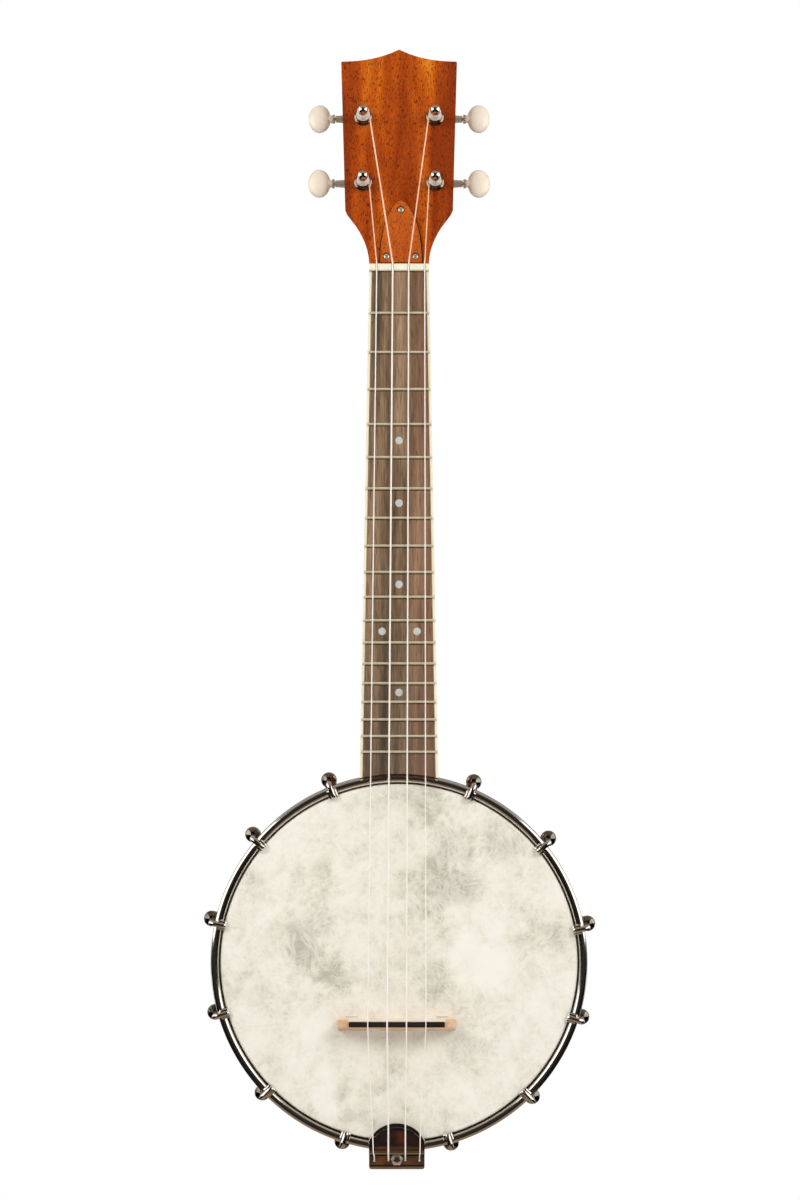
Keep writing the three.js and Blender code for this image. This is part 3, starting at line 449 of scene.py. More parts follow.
@dataclass(frozen=True)
class Moulding:
    """A cream plastic, polished or moulded, with faint clouds in it."""

    name: str
    slot: str
    tone: str
    cloud_tone: str
    clouds: Triple
    roughness: float = 0.3
    coat: float = 0.4

    def material(self) -> bpy.types.Material:
        """Builds the plastic's shader."""
        fixed = {"Coat Weight": self.coat, "Coat Roughness": 0.12}
        shader = Shader(self.name, fixed)
        cloud = shader.noise(self.clouds, 3.0, 0.55, bend=0.6)
        speck = shader.noise((1.1, 1.1, 1.1), 2.0, 0.6)
        shader.connect("Base Color", shader.mix(cloud.between(0.35, 0.7), self.tone, self.cloud_tone))
        shader.connect("Roughness", self.roughness + (speck - 0.5) * 0.12)
        shader.bump(speck, 0.06, 0.01)
        return shader.material


@dataclass(frozen=True)
class Plating:
    """Polished plate over brass, with a haze of handling on it; on the ball shoes this haze is near black, a
    painted dark reflection.
    """

    name: str
    slot: str
    tone: str
    haze_and_dark_reflection_tone: str
    roughness: float = 0.09
    haze: float = 0.1
    drawn: Triple = (0.05, 0.05, 0.05)
    metallic: float = 1.0

    def material(self) -> bpy.types.Material:
        """Builds the plate's shader."""
        shader = Shader(self.name, {"Metallic": self.metallic})
        film = shader.noise(self.drawn, 4.0, 0.6, bend=0.4).between(0.42, 0.75)
        speck = shader.noise((0.9, 0.9, 0.9), 2.0, 0.6, (5.0, 2.0, 8.0))
        shader.connect("Base Color", shader.mix(film, self.tone, self.haze_and_dark_reflection_tone))
        shader.connect("Roughness", self.roughness + film * self.haze + (speck - 0.5) * 0.02)
        shader.bump(speck, 0.02, 0.01)
        return shader.material


@dataclass(frozen=True)
class DrumFilm:
    """A drum head of mottled film, cream with grey-green clouds and pale fibres, and two pencil ticks."""

    name: str
    slot: str
    tones: tuple[tuple[float, str], ...]
    fibre_tone: str
    pencil_tone: str
    clouds: tuple[tuple[float, float, float, float], ...]
    ticks: tuple[Pair, ...]
    tick_height: float
    tick_strength: float = 0.55
    layer_shares: tuple[float, ...] = (0.4, 0.78, 0.34, 0.24)
    depth_range: Pair = (0.44, 1.12)
    cloud_core: float = 0.2
    cloud_sway: float = 50.0
    thread_width: float = 0.09
    threads: tuple[tuple[float, ...], ...] = (
        (25.0, 0.14, 0.03, 1.0, 0.6), (-40.0, 0.18, 0.035, 6.0, 0.55), (80.0, 0.16, 0.045, 9.0, 0.5),
        (-5.0, 0.26, 0.06, 12.0, 0.5), (55.0, 0.3, 0.08, 15.0, 0.5), (-70.0, 0.28, 0.07, 18.0, 0.5),
    )

    def material(self) -> bpy.types.Material:
        """Builds the film's shader."""
        shader = Shader(self.name, {"Specular IOR Level": 0.3})
        drift = shader.noise((0.018, 0.001, 0.018), 4.0, 0.6, (2.3, 0.0, 7.1), 0.7)
        patch = shader.noise((0.065, 0.001, 0.065), 6.0, 0.74, (4.0, 0.0, 1.0), 0.45)
        grain = shader.noise((0.35, 0.001, 0.35), 3.0, 0.7, (8.0, 0.0, 3.0), 0.8)
        layers = (drift, patch, grain, self._clouds(shader))
        depth = reduce(add, [layer * share for layer, share in zip(layers, self.layer_shares)])
        colour = shader.ramp(depth.between(*self.depth_range), self.tones)
        colour = shader.mix(self._fibres(shader), colour, self.fibre_tone)
        colour = shader.mix(self._ticks(shader) * self.tick_strength, colour, self.pencil_tone)
        shader.connect("Base Color", colour)
        shader.connect("Roughness", 0.5 + (grain - 0.5) * 0.2)
        shader.bump(grain + patch * 0.5, 0.2, 0.04)
        return shader.material

    def _clouds(self, shader: Shader) -> Number:
        """Spreads the film's clouds over it, each a soft disc whose edge wanders: darker for a positive
        strength and lighter for a negative one; the lighter discs at the bottom are painted light.
        """
        sockets = {"Vector": shader.stretched((0.045,) * 3), "Scale": 1.0, "Detail": 3.0}
        wander = shader.node("ShaderNodeTexNoise", None, sockets).outputs["Color"]
        reach = {0: wander, "Scale": self.cloud_sway * METRES_PER_MM}
        place = shader.vector("ADD", {0: shader.place, 1: shader.vector("SCALE", reach)[0]})[0]
        discs = []
        for x, z, radius, strength in self.clouds:
            centre = tuple((along + self.cloud_sway / 2) * METRES_PER_MM for along in (x, 0.0, z))
            gap = Number(shader, shader.vector("DISTANCE", {0: place, 1: centre})["Value"])
            edge = radius * METRES_PER_MM
            far = gap.between(edge * self.cloud_core, edge)
            discs.append((1 - far) * strength)
        return reduce(add, discs)

    def _fibres(self, shader: Shader) -> Number:
        """Draws pale fibres: thin ridges of noises, each with its turn, two scales, start and strength."""
        marks = []
        for turn, across, along, start, strength in self.threads:
            thread = shader.noise((across, 0.001, along), 2.0, 0.6, (start, 0.0, start), 0.5, turn)
            near = 1 - abs(thread - 0.5).between(0.0, self.thread_width)
            gaps = shader.noise((0.05, 0.001, 0.05), 2.0, 0.5, (start + 3.0, 0.0, 2.0))
            marks.append(near * gaps.between(0.42, 0.62) * strength)
        return reduce(Number.at_least, marks)

    def _ticks(self, shader: Shader) -> Number:
        """Draws the two pencil ticks that show where the bridge stands."""
        across = shader.axis(0)
        line = 1 - abs(shader.axis(2) - self.tick_height).between(0.15, 0.4)
        reaches = []
        for left, right in self.ticks:
            half = (right - left) / 2
            reaches.append(1 - abs(across - (left + right) / 2).between(half - 0.6, half + 0.2))
        return reduce(add, reaches) * line


@dataclass(frozen=True)
class Pearl:
    """Mother of pearl, grey and white with a faint colour play."""

    name: str
    slot: str
    tone: str
    second_tone: str

    def material(self) -> bpy.types.Material:
        """Builds the pearl's shader."""
        shader = Shader(self.name, {"Coat Weight": 0.5, "Coat Roughness": 0.08})
        play = shader.noise((0.5, 0.5, 0.5), 2.0, 0.5, bend=1.5)
        shader.connect("Base Color", shader.mix(play.between(0.35, 0.65), self.tone, self.second_tone))
        shader.connect("Roughness", 0.25 + play * 0.15)
        return shader.material


@dataclass(frozen=True)
class Nylon:
    """Clear nylon line, with a painted tint of the wood that shows through it where it lies over the
    headstock.
    """

    name: str
    slot: str
    tone: str
    edge_tone: str
    painted_wood_tint: str
    painted_tint_from: Pair

    def material(self) -> bpy.types.Material:
        """Builds the nylon's shader."""
        shader = Shader(self.name, {"Specular IOR Level": 0.3})
        tint = shader.noise((0.4, 0.4, 0.1), 2.0, 0.5)
        colour = shader.mix(tint.between(0.3, 0.7), self.tone, self.edge_tone)
        # Painted see-through tint: above the nut the line takes the headstock wood's colour.
        colour = shader.mix(shader.axis(2).between(*self.painted_tint_from), colour, self.painted_wood_tint)
        shader.connect("Base Color", colour)
        shader.connect("Roughness", 0.45 + tint * 0.15)
        return shader.material


class Finishes(Enum):
    """The finishes that the instrument has."""

    MAHOGANY = Wood(
        "satin_mahogany", "mahogany",
        ((0.3, "#8e3403"), (0.43, "#a64204"), (0.55, "#b84f05"), (0.68, "#cb640c"), (0.8, "#dd801e")),
        "#4a1a04", (0.075, 0.05, 0.005), (1.6, 1.2, 0.05), (1.8, 1.6, 0.3), (0.55, 0.67),
        pore_strength=0.85, fibre_strength=0.42, roughness=0.45, coat=0.08, specular=0.12,
        bands=(
            (-21.0, 6.0, 0.07), (-12.0, 4.0, 0.06), (15.0, 7.0, 0.11), (20.0, 3.0, -0.06),
            (-31.0, 8.0, -0.2), (3.0, 7.0, -0.08), (24.0, 5.0, -0.16), (32.0, 9.0, -0.3), (-5.0, 4.0, -0.06),
        ),
    )
    COVER_WOOD = Wood(
        "cover_mahogany", "mahogany",
        ((0.28, "#b24c08"), (0.45, "#be560c"), (0.6, "#ca6212"), (0.8, "#d67422")),
        "#6e2b06", (0.06, 0.05, 0.01), (1.0, 1.2, 0.2), (1.6, 1.5, 0.6), (0.54, 0.66),
        pore_strength=0.75, fibre_strength=0.3, roughness=0.45, coat=0.1, specular=0.25,
    )
    # Painted shadow: the dark outline around the truss rod cover and the shaded wells around its screws.
    COVER_EDGE = Wood(
        "painted_cover_shadow", "mahogany", ((0.3, "#4c1e08"), (0.7, "#6a2f10")), "#34150a",
        (0.1, 0.1, 0.1), (1.0, 1.0, 1.0), (1.3, 1.3, 0.6), roughness=0.6, coat=0.0, specular=0.1,
    )
    # Painted shadow: the dark strips along the frets.
    SLOT = Wood(
        "painted_fret_shadow", "board_wood", ((0.3, "#3a2c20"), (0.7, "#4c3a2a")), "#2a1f16",
        (0.1, 0.1, 0.1), (1.0, 1.0, 1.0), (1.3, 1.3, 0.6), roughness=0.6, coat=0.0, specular=0.15,
    )
    BOARD = Wood(
        "oiled_board", "board_wood",
        ((0.3, "#544433"), (0.44, "#745c44"), (0.56, "#8c7054"), (0.68, "#a18364"), (0.82, "#ba987a")),
        "#3f2d20", (0.16, 0.2, 0.002), (1.7, 1.7, 0.016), (1.5, 1.5, 0.08), (0.58, 0.7),
        pore_strength=0.55, fibre_strength=0.6, roughness=0.55, coat=0.0, relief=0.05,
        casts=(Cast("#8d5c44", 1.0, 15.0), Cast("#4a3f38", 240.0, 120.0, 2, 0.32)),
    )
    MAPLE = Wood(
        "bridge_maple", "rim_maple",
        ((0.3, "#d9a678"), (0.5, "#e7b990"), (0.7, "#f2ceaa"), (0.85, "#f8ddc0")),
        "#c4935f", (0.02, 0.1, 0.12), (0.1, 1.2, 1.4), (0.3, 1.5, 1.5), (0.64, 0.76),
        pore_strength=0.25, fibre_strength=0.25, roughness=0.45, coat=0.1,
        # Painted highlight: the near-white band along the bridge's upper side, above its dark strip, where
        # the lamps above light it.
        casts=(Cast("#f6ecdc", -33.3, -32.9, 2, 0.9, -1.3, 27.8),),
    )
    RIM_MAPLE = Wood(
        "laminated_maple", "rim_maple",
        ((0.3, "#c79d6c"), (0.5, "#d8b184"), (0.7, "#e4c49c"), (0.85, "#edd3b0")),
        "#8f6238", (0.03, 0.14, 0.03), (0.5, 1.6, 0.5), (0.5, 2.2, 0.5), (0.64, 0.76),
        pore_strength=0.3, fibre_strength=0.3, roughness=0.38, coat=0.35, relief=0.04, ply_thickness=2.0,
    )
    EBONY = Wood(
        "ebony_strip", "ebony",
        ((0.3, "#17110e"), (0.5, "#241b16"), (0.7, "#372a22"), (0.85, "#493a2f")),
        "#0d0907", (0.02, 0.3, 0.4), (0.12, 1.5, 1.8), (0.4, 2.0, 2.0), (0.62, 0.74),
        pore_strength=0.5, fibre_strength=0.4, roughness=0.4, coat=0.2,
    )
    BINDING = Moulding("ivory_binding", "binding", "#faf2d8", "#f2e8c8", (0.3, 0.3, 0.03), 0.32, 0.3)
    BUTTON = Moulding("cream_button", "button", "#f8ead6", "#f4e4cc", (0.12, 0.12, 0.12), 0.3, 0.4)
    CHROME = Plating("chrome_plate", "chrome_plate", "#b9b2a8", "#aaa093", 0.06, 0.08)
    # Painted reflection: the ball shoes' darker tone and near-black patches stand for the dark room mirrored
    # in them.
    SHOE = Plating("shoe_chrome", "chrome_plate", "#948d83", "#1d1916", 0.07, 0.1, (0.17, 0.17, 0.17))
    NICKEL = Plating("nickel_plate", "nickel_plate", "#b8ac98", "#8d806e", 0.14, 0.12)
    DARK_NICKEL = Plating("aged_nickel", "nickel_plate", "#d2c5b0", "#a89a89", 0.24, 0.12, metallic=0.55)
    BUSHING = Plating("bushing_nickel", "nickel_plate", "#a0968a", "#6d6458", 0.17, 0.12, (0.3, 0.3, 0.3))
    TAIL = Plating("tail_chrome", "chrome_plate", "#b9b2a8", "#aaa093", 0.025, 0.012)
    SCREW = Plating("screw_nickel", "nickel_plate", "#eee7da", "#d8cfbf", 0.26, 0.1, metallic=0.7)
    FRET_WIRE = Plating("fret_wire", "fret_wire", "#f4e8ca", "#e8dab8", 0.4, 0.05, (0.4, 0.4, 0.4), 0.45)
    STEEL = Plating("drawn_steel", "steel_rod", "#8d8a86", "#7a7672", 0.3, 0.12, (0.6, 0.6, 0.02))
    HEAD = DrumFilm(
        "mottled_head", "drum_head",
        ((0.0, "#fcf7ec"), (0.28, "#f6f0e2"), (0.52, "#ece5d4"), (0.76, "#d9d3c1"), (1.0, "#bfb9a7")),
        "#fcf7ea", "#6d665c",
        (
            (-54.0, 18.0, 24.0, 1.0), (-50.0, 2.0, 20.0, 0.9), (-38.0, -8.0, 18.0, 0.8),
            (-49.0, 55.0, 22.0, 0.5), (-42.0, 34.0, 16.0, 0.3), (-88.0, -19.0, 24.0, 0.6),
            (-82.0, 50.0, 16.0, 0.3), (-12.0, 92.0, 14.0, 0.4), (13.0, 95.0, 20.0, 0.9),
            (30.0, 62.0, 22.0, 0.8), (33.0, 45.0, 22.0, 1.1), (20.0, 36.0, 16.0, 0.8),
            (4.0, 50.0, 14.0, 0.7), (5.0, 28.0, 14.0, 0.7), (60.0, 73.0, 22.0, 0.6),
            (92.0, 18.0, 20.0, 0.7), (22.0, -8.0, 18.0, 0.7), (-30.0, -44.0, 18.0, 0.3),
            (-4.0, -72.0, 20.0, 0.5), (-24.0, -87.0, 14.0, 0.5), (41.0, -52.0, 20.0, 0.4),
            (-74.0, -52.0, 16.0, 0.3), (47.0, 6.0, 22.0, -0.8), (57.0, -8.0, 22.0, -0.6),
            (-72.0, 70.0, 22.0, -0.4), (-46.0, -42.0, 24.0, -0.5), (-17.0, -19.0, 18.0, -0.5),
            # Painted light: the lighter discs at (-38, -76) and (36, -80) brighten the bottom of the head,
            # where the lamps' light falls off.
            (-38.0, -76.0, 20.0, -0.8), (36.0, -80.0, 22.0, -0.5), (-30.0, 54.0, 14.0, -0.4),
        ),
        ((-31.3, -23.8), (21.4, 28.4)), -31.5,
    )
    PEARL = Pearl("pearl_dot", "pearl", "#d3d0c8", "#bfc2c0")
    NYLON = Nylon("clear_nylon", "nylon", "#fffcf6", "#fff3e6", "#f5cbae", (404.0, 412.0))
    WINDING = Nylon("wound_nylon", "nylon", "#efe6dc", "#d6c9bb", "#e6dacd", (404.0, 412.0))

    def material(self) -> bpy.types.Material:
        """Gives the finish's material, and builds it the first time."""
        found = bpy.data.materials.get(self.value.name)
        return found or self.value.material()


class Workpiece:
    """A mesh in millimetres that is shaped step by step and then set in place as a finished piece."""

    def __init__(self) -> None:
        """Starts with nothing on the bench."""
        self.mesh = bmesh.new()

    def spin(self, outline: Sequence[Pair], steps: int = 64, ring: bool = False) -> Workpiece:
        """Spins an outline about the y axis.

        Args:
            outline: Its points, as distances from the axis and along it.
            steps: How many steps make the full turn.
            ring: Whether the outline closes on itself, off the axis.

        Returns:
            The workpiece.
        """
        corners = [self.mesh.verts.new((radius, along, 0.0)) for radius, along in outline]
        chain = list(zip(corners, corners[1:])) + ([(corners[-1], corners[0])] if ring else [])
        wires = [self.mesh.edges.new(pair) for pair in chain]
        bmesh.ops.spin(
            self.mesh, geom=corners + wires, cent=(0, 0, 0), axis=(0, 1, 0), dvec=(0, 0, 0),
            angle=FULL_TURN, steps=steps, use_merge=True, use_duplicate=False,
        )
        return self.closed()

    def pin(self, radius: float, low: float, high: float, steps: int = 24) -> Workpiece:
        """Spins a plain pin about the y axis, between two places along it."""
        return self.spin([(0.0, low), (radius, low), (radius, high), (0.0, high)], steps)

    def plate(self, outline: Sequence[Pair], front: float, back: float) -> Workpiece:
        """Raises an outline in x and z into a slab.

        Args:
            outline: Its points.
            front: The depth along y where the slab starts.
            back: The depth where it ends.

        Returns:
            The workpiece.
        """
        corners = [self.mesh.verts.new((x, front, z)) for x, z in outline]
        face = self.mesh.faces.new(corners)
        raised = bmesh.ops.extrude_face_region(self.mesh, geom=[face])["geom"]
        moved = [part for part in raised if isinstance(part, bmesh.types.BMVert)]
        bmesh.ops.translate(self.mesh, vec=(0.0, back - front, 0.0), verts=moved)
        return self.closed()

    def block(self, low: Triple, high: Triple) -> Workpiece:
        """Makes a box between two corners."""
        size = [far - near for near, far in zip(low, high)]
        middle = [(near + far) / 2 for near, far in zip(low, high)]
        place = Matrix.Translation(middle) @ Matrix.Diagonal((*size, 1.0))
        bmesh.ops.create_cube(self.mesh, size=1.0, matrix=place)
        return self

    def loft(self, sections: Sequence[Sequence[Triple | Vector]]) -> Workpiece:
        """Extrudes one closed section on to the next, and closes both ends.

        Args:
            sections: The sections, each with the same number of points in the same order.

        Returns:
            The workpiece.
        """
        corners = [self.mesh.verts.new(point) for point in sections[0]]
        wires = [self.mesh.edges.new(pair) for pair in zip(corners, corners[1:] + corners[:1])]
        ends = [wires]
        for section in sections[1:]:
            grown = bmesh.ops.extrude_edge_only(self.mesh, edges=wires)["geom"]
            fresh = {part for part in grown if isinstance(part, bmesh.types.BMVert)}
            edges = [part for part in grown if isinstance(part, bmesh.types.BMEdge)]
            wires = [edge for edge in edges if set(edge.verts) <= fresh]
            following = {}
            for face in (part for part in grown if isinstance(part, bmesh.types.BMFace)):
                for edge in face.edges:
                    inside = [corner for corner in edge.verts if corner in fresh]
                    if len(inside) == 1:
                        following[edge.other_vert(inside[0])] = inside[0]
            corners = [following[corner] for corner in corners]
            for corner, point in zip(corners, section):
                corner.co = point
        ends.append(wires)
        for rim in ends:
            bmesh.ops.edgeloop_fill(self.mesh, edges=rim)
        return self.closed()

    def sweep(self, route: Sequence[Vector], radius: float, resolution: int = 3) -> Workpiece:
        """Lays a round tube along a route, with closed ends.

        Args:
            route: The points of its middle line.
            radius: Its radius.
            resolution: How finely it is rounded.

        Returns:
            The workpiece.
        """
        line = bpy.data.curves.new("route", "CURVE")
        line.dimensions = "3D"
        line.bevel_depth = radius
        line.bevel_resolution = resolution
        line.use_fill_caps = True
        spline = line.splines.new("POLY")
        spline.points.add(len(route) - 1)
        for point, place in zip(spline.points, route):
            point.co = (*place, 1.0)
        holder = bpy.data.objects.new("route", line)
        bpy.context.scene.collection.objects.link(holder)
        bpy.context.view_layer.update()
        made = bpy.data.meshes.new_from_object(holder.evaluated_get(bpy.context.evaluated_depsgraph_get()))
        tube = Workpiece()
        tube.mesh.from_mesh(made)
        bpy.data.objects.remove(holder)
        bpy.data.curves.remove(line)
        bpy.data.meshes.remove(made)
        return self.add(tube.closed())

    def ball(self, radius: float, segments: int = 32) -> Workpiece:
        """Makes a ball about the origin."""
        bmesh.ops.create_uvsphere(self.mesh, u_segments=segments, v_segments=segments // 2, radius=radius)
        return self

    def closed(self) -> Workpiece:
        """Joins points that meet and turns the faces outwards."""
        bmesh.ops.remove_doubles(self.mesh, verts=self.mesh.verts, dist=MERGED)
        bmesh.ops.recalc_face_normals(self.mesh, faces=self.mesh.faces)
        return self

    def soften(self, width: float, segments: int = 2, sharper_than: float = 30.0) -> Workpiece:
        """Bevels the sharp edges.

        Args:
            width: How far the bevel reaches on each face.
            segments: How many strips it has.
            sharper_than: The turn, in degrees, that an edge has to pass to be bevelled.

        Returns:
            The workpiece.
        """
        limit = math.radians(sharper_than)
        edges = [e for e in self.mesh.edges if len(e.link_faces) == 2 and e.calc_face_angle() > limit]
        bmesh.ops.bevel(
            self.mesh, geom=edges, offset=width, offset_type="OFFSET", affect="EDGES", segments=segments,
            profile=0.5, material=-1, clamp_overlap=True, loop_slide=True,
        )
        return self

    def move(self, place: Matrix) -> Workpiece:
        """Carries the whole workpiece by a matrix, and keeps its faces outwards."""
        bmesh.ops.transform(self.mesh, matrix=place, verts=self.mesh.verts)
        if place.determinant() < 0:
            bmesh.ops.reverse_faces(self.mesh, faces=self.mesh.faces)
        return self

    def reshape(self, rule: Callable[[Vector], Vector]) -> Workpiece:
        """Moves each point to where a rule puts it."""
        for corner in self.mesh.verts:
            corner.co = rule(corner.co.copy())
        return self

    def copy(self) -> Workpiece:
        """Gives another workpiece of the same shape."""
        return Workpiece().add(self)

    def add(self, other: Workpiece) -> Workpiece:
        """Lays another workpiece's shapes beside these, without joining them."""
        carrier = bpy.data.meshes.new("carrier")
        other.mesh.to_mesh(carrier)
        self.mesh.from_mesh(carrier)
        bpy.data.meshes.remove(carrier)
        return self

    def carve(self, other: Workpiece, operation: str = "DIFFERENCE") -> Workpiece:
        """Cuts another workpiece away from this one, or joins it as one body.

        Args:
            other: The cutter, or the body that is joined.
            operation: DIFFERENCE or UNION.

        Returns:
            The workpiece.
        """
        holders = []
        for work in (self, other):
            data = bpy.data.meshes.new("bench")
            work.mesh.to_mesh(data)
            holder = bpy.data.objects.new("bench", data)
            bpy.context.scene.collection.objects.link(holder)
            holders.append(holder)
        body, tool = holders
        change = body.modifiers.new("carve", "BOOLEAN")
        change.operation = operation
        change.solver = "EXACT"
        change.object = tool
        bpy.context.view_layer.update()
        made = bpy.data.meshes.new_from_object(body.evaluated_get(bpy.context.evaluated_depsgraph_get()))
        self.mesh.clear()
        self.mesh.from_mesh(made)
        bpy.data.meshes.remove(made)
        for holder in holders:
            data = holder.data
            bpy.data.objects.remove(holder)
            bpy.data.meshes.remove(data)
        return self

    def cross(self, half_length: float, low: float, high: float, turn: float) -> Workpiece:
        """Cuts a screwdriver's cross into a screw's head.

        Args:
            half_length: How far each slot reaches from the middle.
            low: Where along the y axis the slots start.
            high: Where they end.
            turn: The angle of the first slot, in radians.

        Returns:
            The workpiece.
        """
        for angle in (turn, turn + QUARTER_TURN):
            slot = Workpiece().block((-half_length, low, -SLOT_HALF), (half_length, high, SLOT_HALF))
            self.carve(slot.move(Matrix.Rotation(angle, 4, "Y")))
        return self

    def piece(
        self, name: str, finish: Finishes, body: str = "root", nodes: Sequence[str] = (),
        smooth: float = 35.0,
    ) -> None:
        """Args:
            name: The piece's name.
            finish: Its finish.
            body: The body that it rides on.
            nodes: The nodes that it stands for.
            smooth: The sharpest turn, in degrees, that is shaded as smooth.
        """
        bmesh.ops.scale(self.mesh, vec=(METRES_PER_MM,) * 3, verts=self.mesh.verts)
        data = bpy.data.meshes.new(name)
        self.mesh.to_mesh(data)
        self.mesh.free()
        data.shade_smooth()
        data.set_sharp_from_angle(angle=math.radians(smooth))
        data.materials.append(finish.material())
        made = bpy.data.objects.new(name, data)
        bpy.context.scene.collection.objects.link(made)
        level = made.modifiers.new("flat_faces_stay_flat", "WEIGHTED_NORMAL")
        level.keep_sharp = True
        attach(made, body)
        if nodes:
            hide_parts(*nodes)
        LOG.info("%s: %d faces", name, len(data.polygons))


def keep_node(nodes: dict[str, bpy.types.Object], name: str, finish: Finishes) -> None:
    """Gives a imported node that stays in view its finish."""
    piece = nodes[name]
    if not piece.material_slots:
        piece.data.materials.append(None)
    for slot in piece.material_slots:
        slot.material = finish.material()
    LOG.info("%s: kept", name)


def sheet(name: str, size: Pair, place: Matrix, material: bpy.types.Material) -> bpy.types.Object:
    """Lays a flat rectangle in the scene, in metres.

    Args:
        name: The rectangle's name.
        size: Its sides.
        place: Where its middle is, and how it is turned.
        material: What it is made of.

    Returns:
        The rectangle's object.
    """
    mesh = bmesh.new()
    bmesh.ops.create_grid(mesh, x_segments=1, y_segments=1, size=0.5)
    bmesh.ops.scale(mesh, vec=(*size, 1.0), verts=mesh.verts)
    bmesh.ops.transform(mesh, matrix=place, verts=mesh.verts)
    data = bpy.data.meshes.new(name)
    mesh.to_mesh(data)
    mesh.free()
    data.materials.append(material)
    made = bpy.data.objects.new(name, data)
    bpy.context.scene.collection.objects.link(made)
    return made


@dataclass
class Pot:
    """The wooden rim with its head, hoops, hooks, shoes and coordinator rod."""

    rim_radius: float = 101.5
    rim_wall: float = 10.0
    rim_back: float = 51.0
    rim_ease: float = 0.8
    bearing: Pair = (2.6, 2.4)
    film: float = 0.6
    fold: float = 1.4
    film_rings: Pair = (30.0, 8.0)
    collar_wall: float = 0.8
    flesh: Pair = (5.7, 4.8)
    hoop_air: float = 1.1
    hoop_width: float = 5.6
    hoop_depth: float = 10.7
    hoop_proud: float = 1.2
    hoop_ease: float = 0.4
    shoulder: Pair = (1.9, 3.0)
    inner_roll: Pair = (2.5, 2.2)
    inner_relief: float = 0.75
    crown_past: float = 0.85
    hook_count: int = 12
    hook_turn: float = 0.75
    hook_first: float = 22.2
    hook_pitch: float = 28.26
    hook_radius: float = 1.6
    hook_air: float = 0.4
    hook_bend: float = 2.6
    hook_ease: float = 0.4
    claw: Triple = (2.95, 0.68, 1.35)
    claw_side: float = 0.12
    saddle: float = 4.6
    nut_flats: float = 6.35
    nut_height: float = 10.0
    hook_end: float = 4.0
    shoe_depth: float = 24.0
    ball_radius: float = 4.6
    ball_offset: float = 1.0
    shoe_neck: float = 3.5
    bore_reach: float = 12.0
    bolt_radius: float = 2.4
    bolt_head: Pair = (4.4, 3.0)
    rod_depth: float = 30.0
    rod_radius: float = 4.0
    rod_thread: float = 2.8
    rod_in_heel: float = 14.0
    rod_nut: Pair = (4.6, 5.0)
    hanger_sheet: float = 2.0
    cutter_ends: Pair = (-60.0, 70.0)
    rim_steps: int = 192
    hoop_steps: int = 256

    @property
    def collar_inner(self) -> float:
        """The inside of the film's collar."""
        return self.rim_radius + FIT

    @property
    def hoop_inner(self) -> float:
        """The inside of the tension hoop."""
        return self.collar_inner + self.collar_wall + self.hoop_air

    @property
    def hoop_outer(self) -> float:
        """The outside of the tension hoop."""
        return self.hoop_inner + self.hoop_width

    @property
    def hoop_back(self) -> float:
        """The depth of the tension hoop's back edge."""
        return self.hoop_depth - self.hoop_proud

    @property
    def flesh_back(self) -> float:
        """The depth of the flesh hoop's back."""
        return self.hoop_back + FIT + self.flesh[1]

    @property
    def shank_at(self) -> float:
        """How far the hooks' shanks stand from the pot's axis."""
        return self.hoop_outer + self.hook_air + self.hook_radius

    def angles(self) -> list[float]:
        """Lists the hooks' angles about the pot's axis, in degrees, in the order of their numbers."""
        steps = [self.hook_first + pair * self.hook_pitch for pair in range(self.hook_count // 2)]
        return sorted([self.hook_turn - step for step in steps] + [self.hook_turn + step for step in steps])

    def build(self) -> None:
        """Makes the whole pot."""
        self._rim()
        self._head()
        self._hoops()
        self._rod()
        hook = self._hook()
        shoe = self._shoe()
        for index, angle in enumerate(self.angles()):
            turn = Matrix.Rotation(math.radians(angle - 90), 4, "Y")
            number = f"{index + 1:02d}"
            hook.copy().move(turn).piece(f"hoop_hook_{number}", Finishes.CHROME, nodes=[f"hook_{number}"])
            shoe.copy().move(turn).piece(f"ball_shoe_{number}", Finishes.SHOE, nodes=[f"shoe_{number}"])

    def _rim(self) -> None:
        """Spins the rim with its bearing edge."""
        inner = self.rim_radius - self.rim_wall
        front = self.film + FIT
        edge = self.rim_radius - self.rim_ease
        outline = [
            (inner, front + self.bearing[1]), (edge - self.bearing[0], front), (edge, front),
            (self.rim_radius, front + self.rim_ease), (self.rim_radius, self.rim_back),
            (inner, self.rim_back),
        ]
        rim = Workpiece().spin(outline, self.rim_steps, ring=True).soften(self.rim_ease, 3)
        rim.piece("maple_rim", Finishes.RIM_MAPLE, nodes=["rim"])

    def _head(self) -> None:
        """Spins the film, which turns over the rim's edge into its collar."""
        bore = self.collar_inner + self.collar_wall
        outer = bore + self.crown_past
        turn = self.fold
        outline = [(0.0, 0.0), *((outer - inset, 0.0) for inset in self.film_rings)]
        outline += arc((outer - turn, turn), turn, -90, 0, 8)
        outline += [(outer, self.hoop_back + FIT), (self.collar_inner, self.hoop_back + FIT)]
        outline.append((self.collar_inner, turn))
        outline += arc((bore - turn, turn), turn - self.film, -20, -90, 6)
        outline.append((0.0, self.film))
        film = Workpiece().spin(outline, self.rim_steps)
        film.piece("drum_film", Finishes.HEAD, nodes=["head"], smooth=50)

